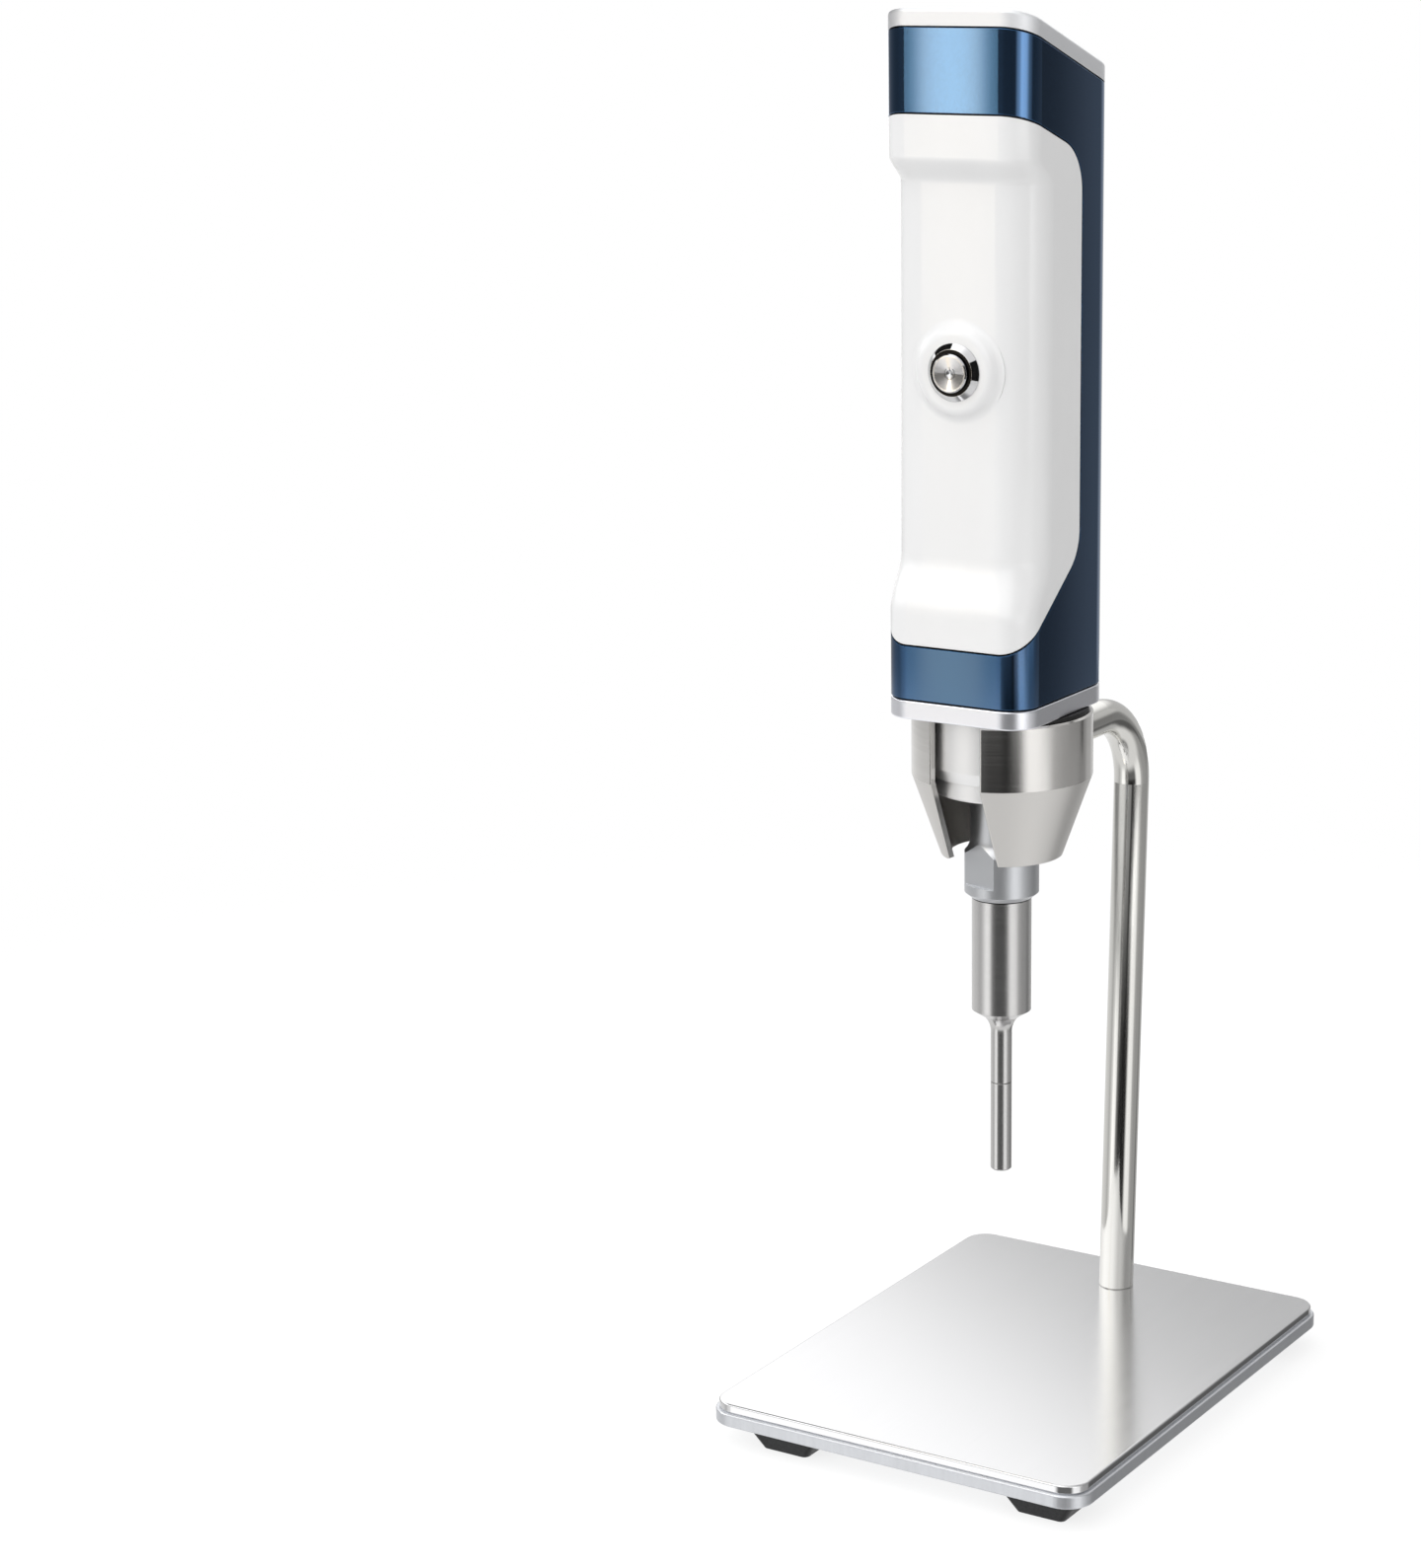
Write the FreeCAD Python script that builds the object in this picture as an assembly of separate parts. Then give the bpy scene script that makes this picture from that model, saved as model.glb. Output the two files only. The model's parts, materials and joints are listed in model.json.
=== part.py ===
import FreeCAD, Part
import os
from math import acos, cos, pi, radians, sin, sqrt, tan

os.makedirs("parts", exist_ok=True)

# Handheld ultrasonic homogenizer that stands in the cup of a bent-rod bench stand.
# Millimetres. +Z is up, the push button faces -Y, and the origin is on the bench,
# under the middle of the base.

# Base of the stand
base_width = 135.5
base_depth = 181.0
base_corner = 8.0
top_plate_thickness = 3.0
lower_plate_thickness = 4.5
lower_plate_step = 1.2
plate_edge_radius = 0.6
plate_seam = 0.4

# Rubber feet
foot_height = 7.0
foot_bottom_width = 17.0
foot_top_width = 26.0
foot_bottom_depth = 17.0
foot_top_depth = 22.0
foot_spacing_x = 94.0
foot_spacing_y = 155.0
foot_shift_x = 5.0
foot_screw_diameter = 3.0
foot_screw_head_diameter = 6.0
foot_screw_head_height = 2.0
foot_screw_depth = 3.6
foot_recess_diameter = 8.0
foot_recess_depth = 3.6

# Bent rod and its screw
rod_diameter = 12.0
rod_inset = 21.4
rod_reach = 85.1
rod_lean_deg = 2.4
rod_end_chamfer = 0.3
rod_bend_radius = 26.5
arm_below_rim = 16.7
rod_screw_diameter = 6.0
rod_screw_head_diameter = 10.0
rod_screw_head_height = 3.6
rod_screw_depth = 14.0
rod_screw_socket = 4.0
washer_diameter = 12.5
washer_thickness = 1.2

# Cup that holds the handset
cup_rim_height = 225.9
cup_outer_diameter = 58.3
cup_wall = 3.0
cup_cylinder_height = 20.9
cup_cone_height = 26.7
cup_bottom_diameter = 39.4
cup_slot_width = 18.4
cup_slot_edge = 0.6
cup_slot_turn_deg = -4.5

# Ring between cup and handset
seat_ring_thickness = 1.2
seat_ring_diameter = 55.4
seat_ring_play = 0.3

# Handset body
body_width = 51.6
body_depth = 58.0
body_corner = 9.6
body_forward = 4.3
shell_wall = 1.8
shell_front_height = 207.6
top_slant_deg = 20.0
seam = 0.55
collar_height = 6.1
collar_lip_height = 3.0
collar_lip_wall = 1.6
fit_play = 0.1
cap_thickness = 5.2
cap_edge_radius = 1.0
cap_lip_depth = 3.5
cap_screw_diameter = 3.0
cap_screw_head_diameter = 5.8
cap_screw_spacing = 24.0

# Grip cover: heights above the underside of the collar, top margin below the top of the shell
cover_wall = 2.2
cover_low_height = 24.1
cover_low_slope_deg = 37.0
cover_top_margin = 25.8
cover_rear_inset = 36.2
cover_low_radius = 15.0
cover_high_radius = 16.5
cover_lip_width = 5.0
cover_lip_wall = 1.2
cover_screw_diameter = 2.5
cover_screw_head_diameter = 4.5
cover_screw_head_height = 1.5
cover_screw_grip = 1.2
cover_screw_heights = (75.0, 150.0)
recess_depth = 4.5
recess_corner = 13.0
recess_low_start = 33.9
recess_low_end = 51.9
recess_high_start = 167.5
recess_high_end = 175.9
recess_steps = 6

# Push button
button_height = 110.5
boss_base_diameter = 32.5
boss_top_diameter = 22.5
boss_height = 2.6
bezel_diameter = 18.0
bezel_top_diameter = 14.6
bezel_height = 1.9
switch_thread_diameter = 15.6
switch_hole_play = 0.2
switch_length = 20.0
cap_diameter = 12.0
cap_play = 0.15
cap_proud = 1.3
cap_disc_thickness = 4.0
cap_dish_depth = 0.5
cap_dimple_diameter = 2.4
stem_diameter = 5.0
stem_length = 10.0
button_travel = 1.2
bezel_floor = 7.0
switch_nut_width = 20.0
switch_nut_thickness = 2.5
switch_body_diameter = 13.0
switch_body_length = 11.0
switch_pin_length = 5.0
spring_wire = 0.7
spring_turns = 4

# Lower housing
housing_diameter = 49.2
housing_length = 21.8
housing_chamfer_height = 3.9
housing_chamfer_width = 1.5
housing_bore = 41.2
housing_throat = 37.0
housing_screw_diameter = 2.5
housing_screw_head_diameter = 4.5
housing_screw_head_height = 2.0
housing_screw_circle = 45.2
housing_screw_depth = 8.0
housing_screw_angle_deg = 25.0
ring_diameter = 44.6
ring_height = 5.9
ring_spigot_height = 3.0
ring_bore = 24.6
seal_wire = 1.7

# Transducer stack
flange_thickness = 3.5
neck_diameter = 20.4
coupler_diameter = 24.2
coupler_cylinder = 13.4
coupler_flare = 4.8
coupler_chamfer = 1.7
coupler_step = 0.4
coupler_below_ring = 35.8
wrench_flats = 20.6
flat_turn_deg = -16.0
flat_ledge = 3.0
front_mass_diameter = 35.0
front_mass_height = 19.7
piezo_diameter = 35.0
piezo_hole = 13.0
piezo_thickness = 5.0
piezo_count = 4
electrode_thickness = 0.4
electrode_tab_width = 5.0
electrode_tab_length = 4.0
back_mass_height = 22.0
bolt_diameter = 10.0
bolt_head_diameter = 16.0
bolt_head_height = 6.0
bolt_socket = 8.0
bolt_depth = 14.0
thread_play = 0.05

# Horn and tip
horn_diameter = 19.4
horn_cylinder = 38.3
horn_shoulder_height = 2.5
horn_shoulder_diameter = 11.7
horn_fillet_height = 5.9
horn_length = 63.2
tip_diameter = 7.0
tip_length = 30.5
tip_edge = 0.5
tip_joint_height = 0.35
tip_joint_depth = 0.4
horn_stud_diameter = 8.0
horn_stud_length = 18.0
tip_stud_diameter = 4.0
tip_stud_length = 12.0

# Frame, board and parts inside the shell
frame_width = 40.0
frame_sheet = 2.0
frame_back_gap = 1.8
frame_foot_length = 18.0
frame_top_length = 20.0
frame_screw_spacing = 30.0
frame_screw_inset = 4.8
frame_screw_diameter = 3.0
frame_screw_head_diameter = 5.5
frame_screw_head_height = 2.0
board_width = 40.0
board_height = 92.0
board_thickness = 1.6
board_base = 78.0
spacer_length = 6.0
spacer_diameter = 5.0
spacer_inset = 4.0
spacer_screw_diameter = 2.5
coil_width = 20.0
coil_depth = 14.0
core_width = 28.0
core_height = 24.0
core_limb = 6.0
core_base = 7.5
capacitor_diameter = 10.0
capacitor_length = 9.0
capacitor_pitch = 12.0
capacitor_count = 3
capacitor_height = 42.0
sink_width = 30.0
sink_height = 30.0
sink_depth = 15.0
sink_fins = 6
sink_fin_thickness = 1.4
sink_web = 3.0
sink_base = 56.0
transistor_width = 10.0
transistor_height = 14.0
transistor_thickness = 4.0

# Power inlet at the back
socket_height = 64.0
socket_flange_diameter = 15.0
socket_flange_thickness = 2.0
socket_thread_diameter = 11.0
socket_length = 15.0
socket_bore = 6.4
socket_bore_depth = 10.0
socket_pin_diameter = 2.1
socket_nut_width = 14.0
socket_nut_thickness = 2.5

# Heights worked out from the sizes above
lower_plate_z = foot_height
top_plate_z = lower_plate_z + lower_plate_thickness
deck_z = top_plate_z + top_plate_thickness
rim_z = deck_z + cup_rim_height
cup_kink_z = rim_z - cup_cylinder_height
cup_bottom_z = cup_kink_z - cup_cone_height
arm_z = rim_z - arm_below_rim
rod_y = base_depth/2 - rod_inset
axis_y = rod_y - rod_reach
collar_z = rim_z + seat_ring_thickness
collar_top_z = collar_z + collar_height
shell_z = collar_top_z + seam
shell_top_z = shell_z + shell_front_height
lip_top_z = collar_top_z + collar_lip_height
front_y = axis_y - body_forward - body_depth/2
back_y = front_y + body_depth
slant = tan(radians(top_slant_deg))
slant_cos = cos(radians(top_slant_deg))
cap_under_z = shell_top_z + seam
housing_bottom_z = collar_z - housing_length
ring_bottom_z = housing_bottom_z - ring_height
flange_z = housing_bottom_z + ring_spigot_height
front_mass_z = flange_z + flange_thickness
stack_z = front_mass_z + front_mass_height
coupler_z = ring_bottom_z - coupler_below_ring
horn_z = coupler_z - horn_length
tip_z = horn_z - tip_length
button_z = collar_z + button_height
grip_y = front_y + recess_depth
boss_y = grip_y - boss_height
frame_y = back_y - shell_wall - frame_back_gap
board_back_y = frame_y - frame_sheet - spacer_length
board_front_y = board_back_y - board_thickness
board_z = collar_z + board_base

V = FreeCAD.Vector
up = V(0, 0, 1)
forward = V(0, -1, 0)
backward = V(0, 1, 0)


def outline(points, radii, place):
    # Closed wire through corner points, each corner rounded with a tangent arc
    edges = []
    starts = []
    ends = []
    count = len(points)
    for i in range(count):
        corner = V(points[i][0], points[i][1], 0)
        before = V(points[i - 1][0], points[i - 1][1], 0) - corner
        after = V(points[(i + 1) % count][0], points[(i + 1) % count][1], 0) - corner
        before.normalize()
        after.normalize()
        radius = radii[i]
        if radius <= 0:
            starts.append(corner)
            ends.append(corner)
            continue
        half = acos(before.dot(after))/2
        reach = radius/tan(half)
        middle = before + after
        middle.normalize()
        starts.append(corner + before*reach)
        ends.append(corner + after*reach)
        tip_point = corner + middle*(radius/sin(half) - radius)
        edges.append((i, Part.Arc(place(starts[i]), place(tip_point), place(ends[i])).toShape()))
    arcs = dict(edges)
    loop = []
    for i in range(count):
        if i in arcs:
            loop.append(arcs[i])
        following = (i + 1) % count
        loop.append(Part.makeLine(place(ends[i]), place(starts[following])))
    return Part.Wire(loop)


def plan(z):
    return lambda p: V(p.x, p.y, z)


def side_view(x):
    return lambda p: V(x, p.x, p.y)


def rounded_plate(width, depth, corner, z, thickness):
    x = width/2
    y = depth/2
    wire = outline([(-x, -y), (x, -y), (x, y), (-x, y)], [corner]*4, plan(z))
    return Part.Face(wire).extrude(up*thickness)


def turned(profile, centre_y=0.0):
    # Solid of revolution about the vertical line x = 0, y = centre_y
    points = [V(r, centre_y, z) for r, z in profile]
    face = Part.Face(Part.makePolygon(points + [points[0]]))
    return face.revolve(V(0, centre_y, 0), up, 360)


def disc(diameter, height, x, y, z, direction=up):
    return Part.makeCylinder(diameter/2, height, V(x, y, z), direction)


def tube(outer, inner, height, x, y, z, direction=up):
    return disc(outer, height, x, y, z, direction).cut(disc(inner, height, x, y, z, direction))


def block(width, depth, height, x, y, z):
    # Box centred on x, from y backwards and from z upwards
    return Part.makeBox(width, depth, height, V(x - width/2, y, z))


def hexagon(across_flats, height, x, y, z, direction=up):
    radius = across_flats/sqrt(3)
    points = [V(radius*cos(k*pi/3), radius*sin(k*pi/3), 0) for k in range(7)]
    prism = Part.Face(Part.makePolygon(points)).extrude(up*height)
    prism.Placement = FreeCAD.Placement(V(x, y, z), FreeCAD.Rotation(up, direction))
    return prism


def joined(solids):
    result = solids[0]
    for solid in solids[1:]:
        result = result.fuse(solid)
    return result.removeSplitter()


def group(solids):
    return Part.makeCompound(solids)


def save(name, shape):
    shape.exportStep("parts/" + name + ".step")


def save_stand():
    save("base_plate", base_plate())
    save("top_plate", top_plate())
    save("feet", group([foot(x, y) for x, y in foot_places()]))
    save("foot_screws", group([foot_screw(x, y) for x, y in foot_places()]))
    save("stand_rod", stand_rod())
    save("rod_screw", rod_screw())
    save("rod_washer", tube(washer_diameter, rod_screw_diameter + 4*thread_play, washer_thickness,
                            0, rod_y, lower_plate_z - washer_thickness))
    save("holder_cup", holder_cup())
    save("seat_ring", seat_ring())


def foot_places():
    x = foot_spacing_x/2
    y = foot_spacing_y/2
    shift = foot_shift_x
    return [(shift - x, -y), (shift + x, -y), (shift + x, y), (shift - x, y)]


def base_plate():
    grow = 2*lower_plate_step
    plate = rounded_plate(base_width + grow, base_depth + grow, base_corner + lower_plate_step,
                          lower_plate_z, lower_plate_thickness)
    rims = [e for e in plate.Edges if abs(e.BoundBox.ZLength) < thread_play]
    plate = plate.makeFillet(plate_edge_radius, rims)
    plate = plate.cut(disc(rod_screw_diameter + 4*thread_play, lower_plate_thickness, 0, rod_y, lower_plate_z))
    for x, y in foot_places():
        plate = plate.cut(disc(foot_screw_diameter + 2*thread_play, foot_screw_depth, x, y, lower_plate_z))
    return plate


def top_plate():
    plate = rounded_plate(base_width, base_depth, base_corner, top_plate_z, top_plate_thickness)
    top_rim = [e for e in plate.Edges if e.BoundBox.ZMin > deck_z - thread_play]
    plate = plate.makeFillet(plate_edge_radius, top_rim)
    low_rim = [e for e in plate.Edges if e.BoundBox.ZMax < top_plate_z + thread_play]
    plate = plate.makeChamfer(plate_seam, low_rim)
    return plate.cut(disc(rod_screw_diameter + 4*thread_play, top_plate_thickness, 0, rod_y, top_plate_z))


def foot(x, y):
    def ring(width, depth, z):
        a = width/2
        b = depth/2
        points = [(x - a, y - b), (x + a, y - b), (x + a, y + b), (x - a, y + b)]
        return outline(points, [2.0]*4, plan(z))
    body = Part.makeLoft([ring(foot_bottom_width, foot_bottom_depth, 0),
                          ring(foot_top_width, foot_top_depth, foot_height)], True, True)
    body = body.cut(disc(foot_recess_diameter, foot_recess_depth, x, y, 0))
    return body.cut(disc(foot_screw_diameter + 4*thread_play, foot_height, x, y, 0))


def foot_screw(x, y):
    head = disc(foot_screw_head_diameter, foot_screw_head_height, x, y, foot_recess_depth - foot_screw_head_height)
    shank = disc(foot_screw_diameter, foot_height + foot_screw_depth - foot_recess_depth - thread_play,
                 x, y, foot_recess_depth)
    return joined([head, shank])


def stand_rod():
    # Level arm, one tangent bend, and the upright, which leans back and is cut flush with the deck
    lean = radians(rod_lean_deg)
    rise = V(0, sin(lean), cos(lean))
    corner = V(0, rod_y + (arm_z - deck_z)*tan(lean), arm_z)
    half = (pi/2 - lean)/2
    bend_start = corner + forward*(rod_bend_radius/tan(half))
    bend_end = corner - rise*(rod_bend_radius/tan(half))
    inward = forward - rise
    inward.normalize()
    bend_middle = corner + inward*(rod_bend_radius/sin(half) - rod_bend_radius)
    start = V(0, axis_y, arm_z)
    foot_end = V(0, rod_y, deck_z) - rise*rod_diameter
    path = Part.Wire([Part.makeLine(start, bend_start),
                      Part.Arc(bend_start, bend_middle, bend_end).toShape(),
                      Part.makeLine(bend_end, foot_end)])
    section = Part.Wire([Part.makeCircle(rod_diameter/2, start, backward)])
    rod = path.makePipeShell([section], True, False)
    rod = rod.cut(block(2*rod_diameter, 2*rod_diameter, 2*rod_diameter, 0, rod_y - rod_diameter,
                        deck_z - 2*rod_diameter))
    foot_rim = [e for e in rod.Edges if e.BoundBox.ZMax < deck_z + thread_play]
    rod = rod.makeChamfer(rod_end_chamfer, foot_rim)
    rod = rod.cut(disc(cup_outer_diameter, 2*cup_rim_height, 0, axis_y, 0))
    return rod.cut(disc(rod_screw_diameter + 2*thread_play, rod_screw_depth, 0, rod_y, deck_z))


def rod_screw():
    head_z = lower_plate_z - washer_thickness - rod_screw_head_height
    head = disc(rod_screw_head_diameter, rod_screw_head_height, 0, rod_y, head_z)
    length = washer_thickness + deck_z - lower_plate_z + rod_screw_depth - 2*thread_play
    shank = disc(rod_screw_diameter, length, 0, rod_y, head_z + rod_screw_head_height)
    return joined([head, shank]).cut(hexagon(rod_screw_socket, rod_screw_head_height/2, 0, rod_y, head_z))


def holder_cup():
    outer = cup_outer_diameter/2
    low_outer = cup_bottom_diameter/2
    inner = outer - cup_wall
    lean = (outer - low_outer)/cup_cone_height
    across = cup_wall*sqrt(1 + lean**2)
    low_inner = low_outer - across
    inner_kink_z = cup_bottom_z + (inner - low_inner)/lean
    edge = plate_edge_radius
    cup = turned([(low_outer, cup_bottom_z), (outer, cup_kink_z), (outer, rim_z - edge), (outer - edge, rim_z),
                  (inner, rim_z), (inner, inner_kink_z), (low_inner, cup_bottom_z)], axis_y)
    slot = block(cup_slot_width, outer, rim_z, 0, axis_y - outer, cup_bottom_z - edge)
    cup = cup.cut(slot)
    sides = []
    for cut_edge in cup.Edges:
        box = cut_edge.BoundBox
        if box.XLength < thread_play and abs(abs(box.XMax) - cup_slot_width/2) < thread_play and box.ZLength > cup_wall:
            sides.append(cut_edge)
    cup = cup.makeFillet(cup_slot_edge, sides)
    cup.rotate(V(0, axis_y, 0), up, cup_slot_turn_deg)
    return cup


def seat_ring():
    bore = housing_diameter + 2*seat_ring_play
    return tube(seat_ring_diameter, bore, seat_ring_thickness, 0, axis_y, rim_z)


def body_wire(z, inset, front_shift, front_corner):
    x = body_width/2 - inset
    y0 = front_y + front_shift + inset
    y1 = back_y - inset
    front_radius = front_corner - inset
    back_radius = body_corner - inset
    return outline([(-x, y0), (x, y0), (x, y1), (-x, y1)],
                   [front_radius, front_radius, back_radius, back_radius], plan(z))


def body_prism(inset, z0, z1):
    return Part.Face(body_wire(z0, inset, 0, body_corner)).extrude(up*(z1 - z0))


def under_slant(top_z):
    # Everything below the slanted plane that meets the front face at top_z
    y0 = front_y - body_depth
    y1 = back_y + body_depth
    x = body_width
    points = [V(-x, y0, 0), V(-x, y1, 0), V(-x, y1, top_z - slant*(y1 - front_y)),
              V(-x, y0, top_z - slant*(y0 - front_y))]
    return Part.Face(Part.makePolygon(points + [points[0]])).extrude(V(2*x, 0, 0))


def recess_loft(z0, z1, shift0, shift1, inset):
    wires = []
    for k in range(recess_steps + 1):
        t = k/recess_steps
        share = shift0 + (shift1 - shift0)*(3*t*t - 2*t*t*t)
        corner = body_corner + (recess_corner - body_corner)*share
        wires.append(body_wire(z0 + (z1 - z0)*t, inset, recess_depth*share, corner))
    return Part.makeLoft(wires, True, False)


def grip_form(inset):
    # Body with the finger recess, set in by a wall all round
    a = collar_z + recess_low_start
    b = collar_z + recess_low_end
    c = collar_z + recess_high_start
    d = collar_z + recess_high_end
    middle = Part.Face(body_wire(b, inset, recess_depth, recess_corner)).extrude(up*(c - b))
    return joined([body_prism(inset, collar_top_z, a),
                   recess_loft(a, b, 0, 1, inset),
                   middle,
                   recess_loft(c, d, 1, 0, inset),
                   body_prism(inset, d, shell_top_z)])


def cover_outline(grow):
    # Side view of the cover, open to the front, grown outwards by the given amount
    low_slope = tan(radians(cover_low_slope_deg))
    ahead = front_y - body_corner
    rear = front_y + cover_rear_inset + grow
    low = collar_z + cover_low_height - grow/cos(radians(cover_low_slope_deg))
    high = shell_top_z - cover_top_margin + grow/slant_cos
    points = [(ahead, low + low_slope*(ahead - front_y)),
              (rear, low + low_slope*(rear - front_y)),
              (rear, high - slant*(rear - front_y)),
              (ahead, high - slant*(ahead - front_y))]
    wire = outline(points, [0, cover_low_radius + grow, cover_high_radius + grow, 0], side_view(-body_width))
    return Part.Face(wire).extrude(V(2*body_width, 0, 0))


def cover_screw_places():
    y = front_y + cover_rear_inset + seam + cover_lip_width/2
    places = []
    for side in (-1, 1):
        for height in cover_screw_heights:
            places.append((side, y, collar_z + height))
    return places


def shell_inner_x():
    return body_width/2 - shell_wall


def body_shell():
    shell = body_prism(0, shell_z, shell_top_z).cut(body_prism(shell_wall, shell_z, shell_top_z))
    shell = shell.common(under_slant(shell_top_z))
    shell = shell.cut(cover_outline(seam))
    shell = shell.cut(disc(socket_thread_diameter + 4*thread_play, 3*shell_wall,
                           0, back_y + shell_wall, collar_z + socket_height, forward))
    for side, y, z in cover_screw_places():
        start = V(side*(shell_inner_x() - shell_wall), y, z)
        hole = Part.makeCylinder(cover_screw_diameter/2 + thread_play, shell_wall + cover_screw_grip,
                                 start, V(side, 0, 0))
        shell = shell.cut(hole)
    return shell


def boss_ring(diameter, y):
    return disc(diameter, body_corner, 0, y, button_z, backward)


def button_boss():
    # Low rounded dome round the button, standing on the floor of the recess
    base = boss_base_diameter/2
    top = boss_top_diameter/2
    wall_y = grip_y + cover_wall/2
    points = [V(0, wall_y, button_z), V(base, wall_y, button_z), V(base, grip_y, button_z)]
    mid = V((base + top)/2, grip_y - boss_height*0.5, button_z)
    outer_bow = V(base - (base - top)*0.28, grip_y - boss_height*0.14, button_z)
    inner_bow = V(top + (base - top)*0.28, grip_y - boss_height*0.86, button_z)
    edges = [Part.makeLine(points[0], points[1]), Part.makeLine(points[1], points[2]),
             Part.Arc(points[2], outer_bow, mid).toShape(),
             Part.Arc(mid, inner_bow, V(top, boss_y, button_z)).toShape(),
             Part.makeLine(V(top, boss_y, button_z), V(0, boss_y, button_z)),
             Part.makeLine(V(0, boss_y, button_z), points[0])]
    return Part.Face(Part.Wire(edges)).revolve(V(0, 0, button_z), backward, 360)


def grip_cover():
    skin = grip_form(0).cut(grip_form(cover_wall)).common(cover_outline(0))
    lip_play = shell_wall + fit_play
    z0 = shell_z + cover_low_height/2
    z1 = shell_top_z
    lip = body_prism(lip_play, z0, z1).cut(body_prism(lip_play + cover_lip_wall, z0, z1))
    lip = lip.common(cover_outline(seam + cover_lip_width)).cut(cover_outline(-cover_lip_width/2))
    cover = joined([skin, lip, button_boss()])
    cover = cover.cut(disc(switch_thread_diameter + switch_hole_play, 4*body_corner,
                           0, boss_y - boss_height, button_z, backward))
    for side, y, z in cover_screw_places():
        start = V(side*(shell_inner_x() - 3*cover_lip_wall), y, z)
        hole = Part.makeCylinder(cover_screw_diameter/2 + 2*thread_play, 4*cover_lip_wall, start, V(side, 0, 0))
        cover = cover.cut(hole)
    return cover


def cover_screw(side, y, z):
    seat = shell_inner_x() - fit_play - cover_lip_wall
    head = Part.makeCylinder(cover_screw_head_diameter/2, cover_screw_head_height,
                             V(side*(seat - cover_screw_head_height), y, z), V(side, 0, 0))
    shank = Part.makeCylinder(cover_screw_diameter/2, cover_lip_wall + fit_play + cover_screw_grip - thread_play,
                              V(side*seat, y, z), V(side, 0, 0))
    return joined([head, shank])


def slanted(solid):
    # Turns a piece made upright over the origin so that it stands square to the slanted top
    solid.rotate(V(0, 0, 0), V(1, 0, 0), -top_slant_deg)
    return solid


def cap_screw_base(side):
    # Point on the underside of the cap where a cap screw passes
    y = back_y - shell_wall - frame_top_length/2
    return V(side*cap_screw_spacing/2, y, cap_under_z - slant*(y - front_y))


def top_cap():
    high = shell_top_z + 4*cap_thickness
    low = shell_top_z - slant*body_depth - 4*cap_thickness
    cap = body_prism(0, low, high).common(under_slant(cap_under_z + cap_thickness/slant_cos))
    cap = cap.cut(under_slant(cap_under_z))
    top_rim = []
    for edge in cap.Edges:
        middle = edge.valueAt((edge.FirstParameter + edge.LastParameter)/2)
        above = middle.z - (cap_under_z - slant*(middle.y - front_y))
        if above > cap_thickness*0.9:
            top_rim.append(edge)
    cap = cap.makeFillet(cap_edge_radius, top_rim)
    inset = shell_wall + fit_play
    lip = body_prism(inset, low, high).cut(body_prism(inset + collar_lip_wall, low, high))
    lip = lip.common(under_slant(cap_under_z)).cut(under_slant(cap_under_z - cap_lip_depth/slant_cos))
    lip = lip.cut(block(frame_width + 2*frame_sheet, body_depth, high - low, 0, axis_y, low))
    cap = joined([cap, lip])
    for side in (-1, 1):
        base = cap_screw_base(side)
        hole = slanted(joined([disc(cap_screw_diameter + 4*thread_play, cap_thickness, 0, 0, 0),
                               countersink(cap_thickness)]))
        hole.translate(base)
        cap = cap.cut(hole)
    return cap


def countersink(top):
    depth = (cap_screw_head_diameter - cap_screw_diameter)/2
    return Part.makeCone(cap_screw_diameter/2, cap_screw_head_diameter/2, depth, V(0, 0, top - depth))


def cap_screw(side):
    play = 2*thread_play
    head_height = (cap_screw_head_diameter - cap_screw_diameter)/2
    head = Part.makeCone(cap_screw_diameter/2 - play, cap_screw_head_diameter/2 - play, head_height,
                         V(0, 0, cap_thickness - head_height - play))
    shank = disc(cap_screw_diameter, cap_thickness + frame_sheet - head_height, 0, 0, -frame_sheet)
    screw = joined([head, shank]).cut(hexagon(cap_screw_diameter/2, head_height/2, 0, 0, cap_thickness - head_height/2))
    screw = slanted(screw)
    screw.translate(cap_screw_base(side))
    return screw


def frame_screw_places():
    y = frame_y - frame_screw_inset
    return [(-frame_screw_spacing/2, y), (frame_screw_spacing/2, y)]


def housing_screw_places():
    radius = housing_screw_circle/2
    places = []
    across = radius*cos(radians(housing_screw_angle_deg))
    along = radius*sin(radians(housing_screw_angle_deg))
    for side in (-1, 1):
        places.append((side*across, axis_y - along))
        places.append((side*across, axis_y + along))
    return places


def base_collar():
    collar = body_prism(0, collar_z, collar_top_z)
    rims = [e for e in collar.Edges if e.BoundBox.ZLength < thread_play]
    collar = collar.makeFillet(plate_edge_radius, rims)
    inset = shell_wall + fit_play
    collar = joined([collar, body_prism(inset, collar_top_z - plate_edge_radius, lip_top_z)])
    collar = collar.cut(disc(housing_throat, 2*collar_height, 0, axis_y, collar_z))
    tab_reach = piezo_diameter + 2*electrode_tab_length + 2*electrode_thickness
    tab_gap = electrode_tab_width + 2*electrode_thickness
    collar = collar.cut(block(tab_reach, tab_gap, 2*collar_height, 0, axis_y - tab_gap/2, stack_z - electrode_thickness))
    for x, y in housing_screw_places():
        collar = collar.cut(disc(housing_screw_diameter + 4*thread_play, 2*collar_height, x, y, collar_z))
        collar = collar.cut(disc(housing_screw_head_diameter + 4*thread_play, 2*collar_height,
                                 x, y, lip_top_z - housing_screw_head_height - fit_play))
    for x, y in frame_screw_places():
        collar = collar.cut(disc(frame_screw_diameter + 2*thread_play, collar_height, x, y,
                                 lip_top_z - collar_height + fit_play))
    return collar


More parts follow.
